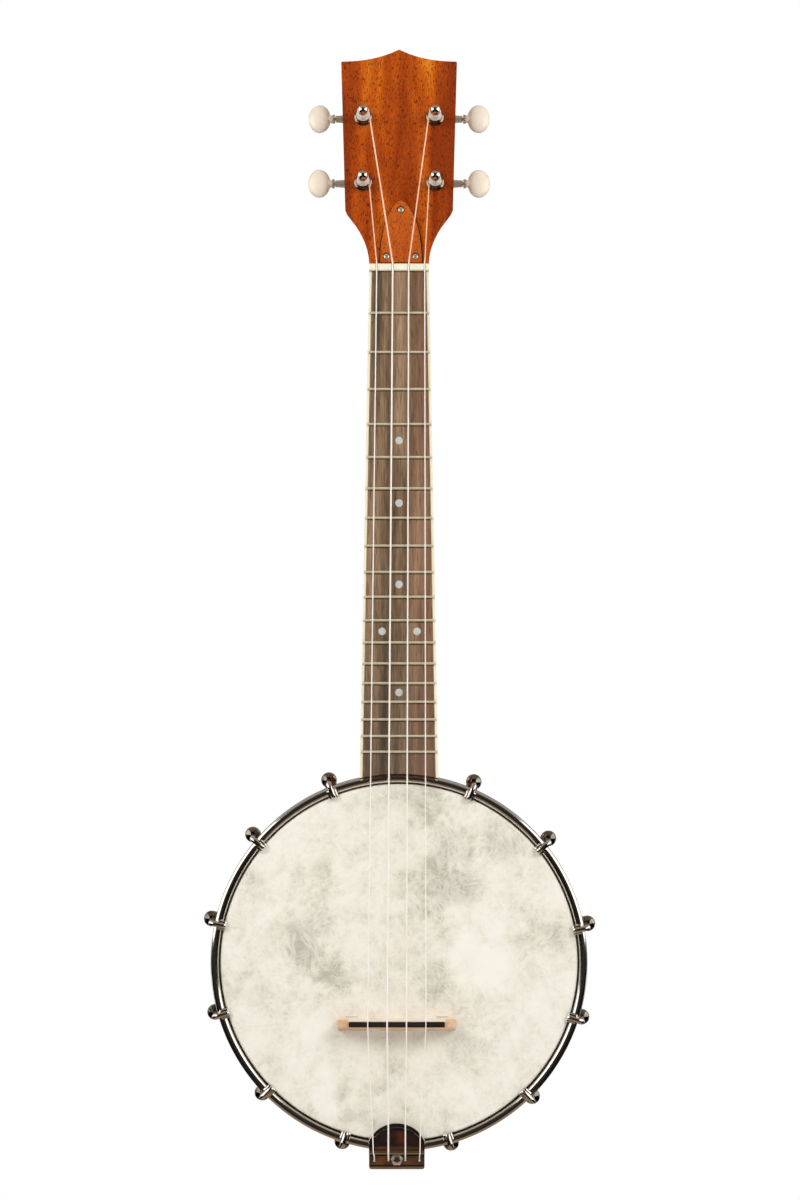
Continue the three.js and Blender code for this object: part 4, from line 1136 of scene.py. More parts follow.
    def _hoops(self) -> None:
        """Spins the flesh hoop and the tension hoop."""
        front = self.hoop_back + FIT
        outer = self.collar_inner + self.flesh[0]
        corners = [
            (self.collar_inner, front), (outer, front), (outer, self.flesh_back),
            (self.collar_inner, self.flesh_back),
        ]
        flesh = Workpiece().spin(corners, self.rim_steps, ring=True).soften(0.6, 3)
        flesh.piece("flesh_ring", Finishes.NICKEL, nodes=["flesh_hoop"])
        ease = self.hoop_ease
        bore = self.hoop_inner + self.inner_relief
        crown = (self.hoop_outer - self.shoulder[0], self.shoulder[1] - self.hoop_proud)
        inner = (bore + self.inner_roll[0], self.inner_roll[1] - self.hoop_proud)
        outline = [
            (bore, self.hoop_back - ease), (bore + ease, self.hoop_back),
            (self.hoop_outer - ease, self.hoop_back), (self.hoop_outer, self.hoop_back - ease),
        ]
        outline += oval(crown, self.shoulder, 0, -90, 14)
        outline += oval(inner, self.inner_roll, -90, -180, 14)
        hoop = Workpiece().spin(outline, self.hoop_steps, ring=True)
        hoop.piece("stretcher_hoop", Finishes.CHROME, nodes=["tension_hoop"])

    def _rod(self) -> None:
        """Spins the coordinator rod with its nut."""
        face = self.rim_radius + FIT + self.hanger_sheet + FIT
        wall = self.rim_radius - self.rim_wall - FIT
        tip = self.rim_radius + self.rod_in_heel
        wide, high = self.rod_nut
        outline = [
            (0.0, -face - high), (wide, -face - high), (wide, -face), (self.rod_thread, -face),
            (self.rod_thread, -wall), (self.rod_radius, -wall), (self.rod_radius, wall),
            (self.rod_thread, wall), (self.rod_thread, tip), (0.0, tip),
        ]
        place = Matrix.Translation((0.0, self.rod_depth, 0.0)) @ Matrix.Rotation(QUARTER_TURN, 4, "X")
        rod = Workpiece().spin(outline, 48).soften(0.5, 3).move(place)
        rod.piece("tie_rod", Finishes.STEEL, nodes=["coordinator_rod"])

    def _hook(self) -> Workpiece:
        """Sweeps one hook from its threaded end over the hoop to its flat claw, and adds its nut."""
        nut_front = self.shoe_depth + self.ball_radius + FIT
        end = nut_front + self.nut_height + self.hook_end
        over = -self.hoop_proud - FIT
        round_y = over - self.hook_radius
        inner = self.hoop_inner - FIT
        wire = self.hook_radius
        ease = self.hook_ease
        route = [(self.shank_at, end, wire - ease, wire - ease), (self.shank_at, end - ease, wire, wire)]
        corner = (self.shank_at - self.hook_bend, round_y + self.hook_bend)
        for x, y in arc(corner, self.hook_bend, 0, -90, 10):
            route.append((x, y, wire, wire))
        route += [(inner + 2.2, round_y, wire, wire), (inner + 1.2, round_y + 0.1, wire, wire - 0.1)]
        for x, y in arc((inner + 1.0, round_y + 1.7), 1.6, -78, -160, 6):
            route.append((x, y, wire - 0.1, wire - 0.5))
        route.append((inner - 0.65, -FIT - 0.5, wire - 0.2, 0.55))
        route.append((inner - 0.65, -FIT - 0.1, wire - 0.5, 0.35))
        hook = Workpiece().loft(self._sections(route))
        hook.add(self._claw(inner, over))
        nut = Workpiece().pin(hexagon(self.nut_flats), 0.0, self.nut_height, 6)
        nut.soften(0.5, 2).move(Matrix.Translation((self.shank_at, nut_front, 0.0)))
        return hook.add(nut)

    def _claw(self, inner: float, over: float) -> Workpiece:
        """Lofts the claw, a saddle that is thickest under the wire and rolls down at both sides.

        Args:
            inner: The radius of the claw's inner face.
            over: The depth of the hoop's crest.

        Returns:
            The claw.
        """
        wide, thick, crown = self.claw
        sections = []
        for step in range(-10, 11):
            share = abs(step) / 10
            rise = self.claw_side + (crown - self.claw_side) * math.sqrt(1 - share**3.2)
            foot = inner - thick * (1.2 + 0.8 * (1 - share**3))
            end = inner + self.saddle - 0.5 * share**3
            outline = [(foot, -FIT), (foot, over + 0.2)]
            outline += bent((foot, over + 0.2), (foot, over - rise), (inner + 0.4, over - rise), 5)
            outline += [(end - 0.9, over - rise)]
            outline += bent((end - 0.9, over - rise), (end, over - rise), (end, over - 0.05), 4)
            outline += [(end - 0.05, over), (inner + 0.25, over), (inner, over + 0.3), (inner, -FIT)]
            sections.append([Vector((x, y, wide * step / 10)) for x, y in outline])
        return Workpiece().loft(sections)

    @staticmethod
    def _sections(route: Sequence[tuple[float, float, float, float]], sides: int = 20) -> list[list[Vector]]:
        """Stands an oval section on each point of a route in the plane z = 0.

        Args:
            route: For each point its two places and the section's two radii.
            sides: How many points a section has.

        Returns:
            The sections.
        """
        sections = []
        for index, (x, y, wide, thick) in enumerate(route):
            before = Vector(route[max(index - 1, 0)][:2])
            after = Vector(route[min(index + 1, len(route) - 1)][:2])
            ahead = (after - before).normalized()
            across = Vector((-ahead.y, ahead.x, 0.0))
            ring = []
            for side in range(sides):
                angle = FULL_TURN * side / sides
                along = Vector((0.0, 0.0, wide * math.sin(angle)))
                ring.append(Vector((x, y, 0.0)) + across * thick * math.cos(angle) + along)
            sections.append(ring)
        return sections

    def _shoe(self) -> Workpiece:
        """Spins one ball shoe with its neck and bolt, and bores it for the hook."""
        wide, thick = self.bolt_head
        head = self.rim_radius - self.rim_wall - FIT - thick
        at = self.shank_at + self.ball_offset
        start = 180 - math.degrees(math.asin(self.shoe_neck / self.ball_radius))
        outline = [
            (0.0, head), (wide, head), (wide, head + thick), (self.bolt_radius, head + thick),
            (self.bolt_radius, self.collar_inner), (self.shoe_neck, self.collar_inner),
        ]
        outline += [(radius, along) for along, radius in arc((at, 0.0), self.ball_radius, start, 0, 16)]
        place = Matrix.Translation((0.0, self.shoe_depth, 0.0)) @ Matrix.Rotation(-QUARTER_TURN, 4, "Z")
        shoe = Workpiece().spin(outline, 40).soften(0.3, 2, 40).move(place)
        front, back = self.shoe_depth - self.bore_reach, self.shoe_depth + self.bore_reach
        bore = Workpiece().pin(self.hook_radius + FIT, front, back)
        return shoe.carve(bore.move(Matrix.Translation((self.shank_at, 0.0, 0.0))))

    def cutter(self) -> Workpiece:
        """Makes the space that the pot keeps clear of the neck."""
        clear = self.hoop_outer + FIT
        rim = self.rim_radius + FIT
        step = self.flesh_back + FIT
        front, back = self.cutter_ends
        outline = [(0.0, front), (clear, front), (clear, step), (rim, step), (rim, back), (0.0, back)]
        return Workpiece().spin(outline, self.hoop_steps)


@dataclass
class Neck:
    """The neck with its heel, headstock, fingerboard, frets, inlays, nut and cover."""

    pot: Pot
    length: float = 291.9
    pitch: float = 2.5
    board_lift: float = 5.0
    nut_width: float = 34.9
    board_end_width: float = 45.4
    board_thickness: float = 5.0
    board_overlap: float = 5.0
    depth_at_nut: float = 14.6
    depth_at_heel: float = 17.4
    heel_depth: float = 45.0
    heel_length: float = 56.0
    heel_past_pot: float = 16.0
    nut_thickness: float = 4.4
    scale: float = 431.8
    fret_count: int = 18
    fret_width: float = 1.5
    fret_height: float = 0.95
    fret_inset: float = 0.15
    shadow_proud: float = 0.06
    shadow_past: Pair = (0.6, 0.1)
    binding_width: float = 1.6
    binding_gap: float = 0.02
    dot_radius: float = 2.2
    dot_proud: float = 0.05
    dot_frets: tuple[int, ...] = (5, 7, 10, 15)
    pair_fret: int = 12
    pair_spacing: float = 10.1
    pair_offset: float = 0.3
    headstock_pitch: float = 11.0
    headstock_thickness: float = 14.0
    headstock_length: float = 134.5
    top_corner: Pair = (34.25, 126.8)
    low_corner: Pair = (31.5, 32.0)
    flare_draw: float = 3.6
    foot_length: float = 21.0
    ogee: float = 14.0
    cover: Triple = (24.2, 38.3, 2.0)
    cover_offset: float = 1.1
    cover_lift: float = 0.95
    cover_curve: Pair = (2.2, 0.62)
    screw_dome: float = 2.4
    screw_proud: float = 0.85
    cover_screws: tuple[Pair, ...] = ((0.0, 32.2), (-8.4, 3.5), (8.4, 3.5))
    frame: Matrix = field(init=False)
    head_frame: Matrix = field(init=False)

    def __post_init__(self) -> None:
        """Sets the frames of the neck and of the headstock."""
        pitch = math.radians(self.pitch)
        clear = self.pot.hoop_outer + FIT
        rise = self.length * math.sin(pitch)
        origin = (0.0, rise - self.board_lift, clear + self.length * math.cos(pitch))
        self.frame = Matrix.Translation(origin) @ Matrix.Rotation(-pitch, 4, "X")
        seat = Matrix.Translation((0.0, self.board_thickness, self.nut_thickness))
        self.head_frame = self.frame @ seat @ Matrix.Rotation(-math.radians(self.headstock_pitch), 4, "X")

    def half_width(self, distance: float) -> float:
        """Gives half the neck's width at a distance below the nut."""
        return (self.nut_width + (self.board_end_width - self.nut_width) * distance / self.length) / 2

    def depth(self, distance: float) -> float:
        """Gives the neck's depth under the board at a distance below the nut."""
        growth = (self.depth_at_heel - self.depth_at_nut) * max(distance, 0.0)
        shaft = self.depth_at_nut + growth / self.length
        along = clamped((distance - self.length + self.heel_length) / self.heel_length)
        return shaft + (self.heel_depth - shaft) * (1 - math.sqrt(1 - along * along))

    def fret_at(self, number: int) -> float:
        """Gives a fret's distance from the nut."""
        return self.scale * (1 - 2 ** (-number / 12))

    def build(self, nodes: dict[str, bpy.types.Object]) -> None:
        """Makes the whole neck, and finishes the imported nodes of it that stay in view."""
        cutter = self.pot.cutter()
        self._wood(cutter)
        self._board(cutter)
        self._frets()
        self._dots()
        self._cover()
        for name in ("binding_left", "binding_right", "nut"):
            keep_node(nodes, name, Finishes.BINDING)
        keep_node(nodes, "truss_rod", Finishes.STEEL)

    def _wood(self, cutter: Workpiece) -> None:
        """Lofts the shaft and heel, and joins the headstock to them."""
        heel = self.length - self.heel_length
        stations = [-self.nut_thickness] + [heel * step / 16 for step in range(17)]
        stations += [heel + self.heel_length * math.sin(QUARTER_TURN * step / 28) for step in range(1, 29)]
        stations.append(self.length + self.heel_past_pot)
        seat = self.board_thickness + FIT
        sections = []
        for distance in stations:
            half = self.half_width(min(distance, self.length))
            deep = self.depth(distance)
            section = oval((0.0, seat), (half, -deep), 180, 360, 40)
            sections.append([(x, y, -distance) for x, y in section])
        wood = Workpiece().loft(sections).move(self.frame)
        wood.carve(self._headstock(), "UNION").carve(cutter)
        wood.piece("neck_wood", Finishes.MAHOGANY, nodes=["neck"], smooth=40)

    def _headstock(self) -> Workpiece:
        """Raises the headstock from its outline: flared foot, straight sides and ogee top."""
        half = self.nut_width / 2
        low, top = self.low_corner, self.top_corner
        side = [(half, -3.0), (half, 0.0), *bent((half, 0.0), (half, low[1] / 2), low, 14)[:-1]]
        side += [(low[0] - 1.1, low[1] - 1.0), (low[0], low[1] + 1.6)]
        side += [(top[0], top[1] - 0.6), (top[0] - 0.6, top[1])]
        side += bent(top, (self.ogee, top[1]), (0.0, self.headstock_length), 16)[:-1]
        outline = mirrored([*side, (0.0, self.headstock_length - 0.15)])
        shares = (0.0, 0.2, 0.38, 0.54, 0.68, 0.8, 0.9, 1.0)
        depths = [self.headstock_thickness * share for share in shares]
        sections = [[self._drawn_in(Vector((x, depth, z))) for x, z in outline] for depth in depths]
        slab = Workpiece().loft(sections)
        return slab.soften(0.9, 3, 50).move(self.head_frame)

    def _drawn_in(self, at: Vector) -> Vector:
        """Draws a point of the headstock's sides inwards: to the round neck at the foot, less above it."""
        deep = at.y / self.headstock_thickness
        low, top = self.low_corner[1], self.top_corner[1]
        rising = clamped(at.z / low)
        falling = clamped((top - at.z) / (top - low))
        inset = self.flare_draw * deep * math.sqrt(rising) * falling * clamped(abs(at.x) / 10.0)
        foot = 1 - clamped(at.z / self.foot_length)
        rounded = 1 - math.sqrt(1 - (0.97 * deep) ** 2)
        share = 1 - rounded * foot * foot * (3 - 2 * foot)
        return Vector(((at.x - math.copysign(inset, at.x)) * share, at.y, at.z))

    def _board(self, cutter: Workpiece) -> None:
        """Lays the tapering fingerboard between its bindings and cuts it to meet the hoop."""
        past = self.length + self.board_overlap
        inset = self.binding_width + self.binding_gap
        at_nut = self.half_width(0.0) - inset
        at_pot = self.half_width(past) - inset
        outline = [(-at_pot, -past), (at_pot, -past), (at_nut, 0.0), (-at_nut, 0.0)]
        board = Workpiece().plate(outline, 0.0, self.board_thickness).move(self.frame).carve(cutter)
        board.piece("fingerboard_wood", Finishes.BOARD, nodes=["fingerboard"])

    def _frets(self) -> None:
        """Lays the frets, each a half-round bar with sloped ends, and a dark strip along each that is its
        painted shadow, reaching further below the fret than above it.
        """
        frets = Workpiece()
        lines = Workpiece()
        half = self.fret_width / 2
        crown = oval((0.0, 0.0), (half, self.fret_height), 0, 180, 9)
        for number in range(1, self.fret_count + 1):
            distance = self.fret_at(number)
            reach = self.half_width(distance) - self.fret_inset
            sections = [
                [Vector((side * (reach - height / 2), -height, along - distance)) for along, height in crown]
                for side in (-1, 1)
            ]
            frets.add(Workpiece().loft(sections))
            # The dark strip along this fret is a painted shadow, wider on the side towards the pot.
            reach -= self.binding_width
            low = (-reach, -self.shadow_proud, -distance - half - self.shadow_past[0])
            lines.add(Workpiece().block(low, (reach, 0.1, -distance + half + self.shadow_past[1])))
        frets.move(self.frame).piece("fret_wires", Finishes.FRET_WIRE, nodes=["fingerboard"], smooth=30)
        lines.move(self.frame).piece("fret_painted_shadows", Finishes.SLOT, nodes=["fingerboard"])

    def _dots(self) -> None:
        """Sets the pearl dots, each between two frets."""
        places = [(0.0, number) for number in self.dot_frets]
        places += [(side * self.pair_spacing + self.pair_offset, self.pair_fret) for side in (-1, 1)]
        dots = Workpiece()
        for x, number in places:
            distance = (self.fret_at(number) + self.fret_at(number - 1)) / 2
            dot = Workpiece().pin(self.dot_radius, -self.dot_proud, 1.0, 48)
            dots.add(dot.move(Matrix.Translation((x, 0.0, -distance))))
        dots.move(self.frame).piece("pearl_dots", Finishes.PEARL, nodes=["fingerboard"])

    def _cover(self) -> None:
        """Makes the truss rod cover, half an oval, its cross-headed screws, and a dark sheet behind it that
        is painted shadow: a dark outline around the cover and a shaded well around each screw.
        """
        wide, high, thick = self.cover
        rise = [step / 24 for step in range(25)]
        bow, fill = self.cover_curve
        outline = mirrored([(wide / 2 * (1 - level**bow) ** fill, level * high) for level in rise])
        place = self.head_frame @ Matrix.Translation((self.cover_offset, 0.0, self.cover_lift))
        front = -FIT - thick
        plate = Workpiece().plate(outline, front, -FIT - 0.7).soften(0.4, 2, 50)
        plate.move(place).piece("rod_cover", Finishes.COVER_WOOD, nodes=["truss_rod_cover"])
        # A dark sheet behind the cover, grown past its outline, shows as a painted shadow around it and
        # under its foot.
        grown = [(x * 1.06 + 0.15, z * 1.012 - 0.6) for x, z in outline]
        edge = Workpiece().plate(grown, -FIT - 1.0, -FIT + 0.2)
        screws = Workpiece()
        top = front - self.screw_proud
        crown = arc((0.0, top + self.screw_dome), self.screw_dome, -90, -48, 8)[1:]
        dome = [(0.0, top), *crown, (1.6, front + 0.3), (0.0, front + 0.3)]
        for x, z in self.cover_screws:
            # A dark disc around each screw, set a little above it, is the painted shade of its countersunk
            # well.
            painted_well_shade = Workpiece().pin(2.2, front - 0.03, front + 0.4, 32)
            edge.add(painted_well_shade.move(Matrix.Translation((x, 0.0, z + 0.3))))
            screw = Workpiece().spin(dome, 32).cross(1.15, front - 1.2, front - 0.05, 0.7)
            screws.add(screw.move(Matrix.Translation((x, 0.0, z))))
        edge.move(place).piece("rod_cover_painted_shadow", Finishes.COVER_EDGE, nodes=["truss_rod_cover"])
        screws.move(place).piece("cover_screws", Finishes.SCREW, nodes=["truss_rod_cover"])


class Side(Enum):
    """The side of the headstock that a tuner is on."""

    LEFT = -1
    RIGHT = 1


@dataclass
class Tuner:
    """One geared tuner: bushing, post, housing and knob."""

    neck: Neck
    name: str
    side: Side
    height: float
    span: float = 42.2
    flange: float = 5.3
    post: float = 3.0
    post_height: float = 15.5
    foot: float = 3.0
    waist: Pair = (2.2, 10.4)
    cap: Pair = (2.9, 11.4)
    hole_height: float = 9.2
    hole_radius: float = 0.8
    shaft_bore: float = 1.3
    gear_depth: float = 4.6
    gear_radius: float = 4.0
    gear_thickness: float = 3.0
    teeth: int = 14
    tooth_height: float = 0.7
    cup: tuple[float, float, float, float] = (-5.5, 6.0, -5.5, 9.6)
    cup_corner: float = 2.4
    cup_wall: float = 1.0
    cup_back: float = 21.85
    lug: Triple = (3.0, 7.1, 1.6)
    worm: Pair = (1.9, 7.2)
    snout: Triple = (16.7, 2.8, 1.9)
    collar: Pair = (2.75, 1.5)
    button: Triple = (13.2, 6.9, 17.4)

    @property
    def place(self) -> Matrix:
        """The tuner's frame: its post's axis along y, and x outwards from the headstock's middle."""
        at = Matrix.Translation((self.side.value * self.span / 2, 0.0, self.height))
        return self.neck.head_frame @ at @ Matrix.Diagonal((self.side.value, 1.0, 1.0, 1.0))

    @property
    def worm_at(self) -> Pair:
        """The depth and height of the worm's axis in the tuner's frame."""
        return self.neck.headstock_thickness + self.gear_depth, self.gear_radius + FIT + self.worm[0]

    @property
    def shaft_line(self) -> Matrix:
        """The worm shaft's frame in the tuner's frame: its axis along y, outwards."""
        return Matrix.Translation((0.0, *self.worm_at)) @ Matrix.Rotation(-QUARTER_TURN, 4, "Z")

    def build(self) -> None:
        """Makes the whole tuner."""
        self._bushing()
        self._post()
        self._housing()
        self._knob()

    def _bushing(self) -> None:
        """Spins the bushing: a stepped and rounded flange over its sleeve."""
        bore = self.post + FIT
        outline = [
            (bore, 7.0), (4.0, 7.0), (4.0, -FIT), (self.flange, -FIT), (self.flange, -0.85),
            (4.75, -1.35), (4.3, -1.6), (4.05, -2.35), (3.75, -2.6), (bore, -2.6),
        ]
        bushing = Workpiece().spin(outline, 64, ring=True).soften(0.15, 2, 25).move(self.place)
        bushing.piece(f"bushing_{self.name}", Finishes.BUSHING, nodes=[f"tuner_bushing_{self.name}"])

    def _post(self) -> None:
        """Spins the post with its waist and domed cap, and adds its gear."""
        back = self.neck.headstock_thickness + self.gear_depth + self.gear_thickness / 2
        waist, waist_end = self.waist
        cap, cap_start = self.cap
        outline = [
            (0.0, back), (self.post, back), (self.post, -self.foot), (2.75, -self.foot - 0.35),
            (waist, -self.foot - 0.7), (waist, -waist_end), (cap - 0.2, -cap_start + 0.2), (cap, -cap_start),
        ]
        outline += arc((0.0, cap - self.post_height), cap, 0, -90, 14)
        across = Matrix.Translation((0.0, -self.hole_height, 0.0)) @ Matrix.Rotation(QUARTER_TURN, 4, "Z")
        hole = Workpiece().pin(self.hole_radius, -8.0, 8.0, 16).move(across)
        post = Workpiece().spin(outline, 48).carve(hole)
        root = self.gear_radius - self.tooth_height
        radii = (self.gear_radius, self.gear_radius, root, root)
        wheel = []
        for corner in range(4 * self.teeth):
            radius = radii[corner % 4]
            angle = FULL_TURN * (corner / 4) / self.teeth
            wheel.append((radius * math.cos(angle), radius * math.sin(angle)))
        post.add(Workpiece().plate(wheel, back - self.gear_thickness, back - 0.01)).move(self.place)
        post.piece(f"post_{self.name}", Finishes.CHROME, f"post_{self.name}", [f"tuner_post_{self.name}"])

    def _housing(self) -> None:
        """Makes the cast housing: a rounded cup with a snout for the shaft and a lug with its screw."""
        front = self.neck.headstock_thickness + FIT
        node = [f"tuner_housing_{self.name}"]
        left, right, low, high = self.cup
        corners = ((left, low), (right, low), (right, high), (left, high))
        outer = []
        for corner, start in zip(corners, (180, 270, 0, 90)):
            outer += arc(self._inside(corner, self.cup_corner), self.cup_corner, start, start + 90, 6)
        cup = Workpiece().plate(outer, front, self.cup_back).soften(0.9, 3, 50)
        length, root, tip = self.snout
        waist = tip + 0.15
        outline = [
            (0.0, 4.6), (root, 4.6), (root, 6.3), (waist, 15.2), (waist, 16.2), (tip, length), (0.0, length),
        ]
        cup.carve(Workpiece().spin(outline, 40).move(self.shaft_line), "UNION")
        wide, drop, thick = self.lug
        rounded = arc((0.0, -drop), wide, 180, 360, 16)
        lug = Workpiece().plate([*rounded, (wide, -4.6), (-wide, -4.6)], front, front + thick)
        cup.carve(lug.soften(0.35, 2, 50), "UNION")
        inner = [self._inside(corner, self.cup_wall) for corner in corners]
        cup.carve(Workpiece().plate(inner, front - 3.0, self.cup_back - self.cup_wall))
        cup.carve(Workpiece().pin(self.shaft_bore, 0.0, 20.0).move(self.shaft_line))
        cup.move(self.place).piece(f"housing_{self.name}", Finishes.DARK_NICKEL, nodes=node)
        head = front + thick
        outline = [(0.0, head), (1.9, head), (1.9, head + 0.3), (1.35, head + 1.0), (0.0, head + 1.2)]
        screw = Workpiece().spin(outline, 32).cross(1.1, head + 0.7, head + 2.0, 0.5)
        screw.move(Matrix.Translation((0.0, 0.0, -drop))).move(self.place)
        screw.piece(f"housing_screw_{self.name}", Finishes.NICKEL, nodes=node)

    @staticmethod
    def _inside(corner: Pair, inset: float) -> Pair:
        """Draws a corner of the cup inwards along both axes."""
        return tuple(along - math.copysign(inset, along) for along in corner)

    def _knob(self) -> None:
        """Makes the knob: worm and shaft with a collar in nickel, and the oval button in cream."""
        along = self.place @ self.shaft_line
        start = self.snout[0] + FIT
        boss = start + self.collar[1]
        half = self.worm[1] / 2
        shaft = [
            (0.0, -half), (self.worm[0], -half), (self.worm[0], half), (1.0, half), (1.0, start),
            (self.collar[0] - 0.3, start), (self.collar[0], start + 0.3), (self.collar[0], boss - 0.3),
            (self.collar[0] - 0.3, boss), (0.0, boss),
        ]
        body = f"knob_{self.name}"
        node = [f"tuner_knob_{self.name}"]
        Workpiece().spin(shaft, 40).move(along).piece(f"shaft_{self.name}", Finishes.DARK_NICKEL, body, node)
        middle = boss + 1.0 + self.button[0] / 2
        button = Workpiece().ball(1.0, 48)
        button.reshape(lambda at: self._pillow(at, middle))
        outline = [
            (0.0, boss), (2.0, boss), (2.3, boss + 0.4), (2.2, boss + 1.0),
            (2.6, boss + 2.2), (0.0, boss + 2.2),
        ]
        neck = Workpiece().spin(outline, 40)
        button.add(neck).move(along)
        button.piece(f"button_{self.name}", Finishes.BUTTON, body, node, smooth=60)

    def _pillow(self, at: Vector, middle: float) -> Vector:
        """Turns a point of a unit ball into one of a flat oval button, whose middle is so far along y."""
        wide, deep, high = self.button
        spread = min(math.hypot(at.x, at.y), 1.0)
        edge = math.sqrt(max(1 - spread**2.6, 0.0))
        return Vector((math.copysign(edge, at.z) * -deep / 2, middle + at.y * wide / 2, at.x * high / 2))


@dataclass
class Bridge:
    """The three-footed bridge with its dark strip, standing on the head."""

    neck: Neck
    offset: float = -1.3
    setback: float = 3.6
    action: float = 1.5
    length: float = 68.2
    height: float = 16.0
    foot_thickness: float = 6.6
    top_thickness: float = 3.5
    shoulder: float = 7.5
    lean: float = 2.05
    outer_foot: float = 16.6
    middle_foot: float = 18.6
    arch: float = 6.4
    strip: Triple = (55.3, 3.0, 3.1)
    spacing: float = 11.15
    notch: Pair = (0.6, 0.6)

    @property
    def at(self) -> float:
        """The bridge's height along the head."""
        return (self.neck.frame @ Vector((0.0, -self.action, 0.0))).z - self.neck.scale - self.setback

    def string_x(self, index: int) -> float:
        """Where a string crosses the bridge."""
        return self.offset + (index - MIDDLE_STRING) * self.spacing

    def build(self) -> None:
        """Makes the bridge and its strip."""
        half = self.length / 2
        foot_in = half - self.outer_foot
        centre = (foot_in + self.middle_foot / 2) / 2
        reach = (foot_in - self.middle_foot / 2) / 2
        top = self.height - self.strip[1]
        wide = self.strip[0] / 2
        outline = [(-half, FIT)]
        for side in (-1, 1):
            outline += oval((side * centre, FIT), (-reach, self.arch), 0, 180, 16)
        shoulder = bent((half, self.shoulder), (half - 0.6, top - 0.8), (wide, top), 6)
        outline += [(half, FIT), (half, self.shoulder), *shoulder]
        outline += [(-x, y) for x, y in reversed(shoulder)]
        outline.append((-half, self.shoulder))
        place = Matrix.Translation((self.offset, 0.0, self.at))
        body = Workpiece().plate(outline, -self.foot_thickness / 2, self.foot_thickness / 2)
        body.reshape(self._stood).closed().soften(0.45, 2, 45).move(place)
        body.piece("bridge_wood", Finishes.MAPLE, nodes=["bridge"])
        thick = self.strip[2] / 2
        bar = Workpiece().block((-wide, -self.height, -thick), (wide, -top, thick)).soften(0.3, 2)
        bar.move(place)
        slit, deep = self.notch
        for index in range(STRING_COUNT):
            x = self.string_x(index)
            low = (x - slit, -self.height - 1.0, self.at - 4.0)
            bar.carve(Workpiece().block(low, (x + slit, -self.height + deep, self.at + 4.0)))
        bar.piece("bridge_strip", Finishes.EBONY, nodes=["bridge_saddle"])

    def _stood(self, at: Vector) -> Vector:
        """Stands a point of the lying slab up on the head, thinner and leaning more towards the top."""
        top = self.height - self.strip[1]
        taper = 1 + (self.top_thickness / self.foot_thickness - 1) * at.z / top
        return Vector((at.x, -at.z, at.y * taper - self.lean * (1 - at.z / top)))


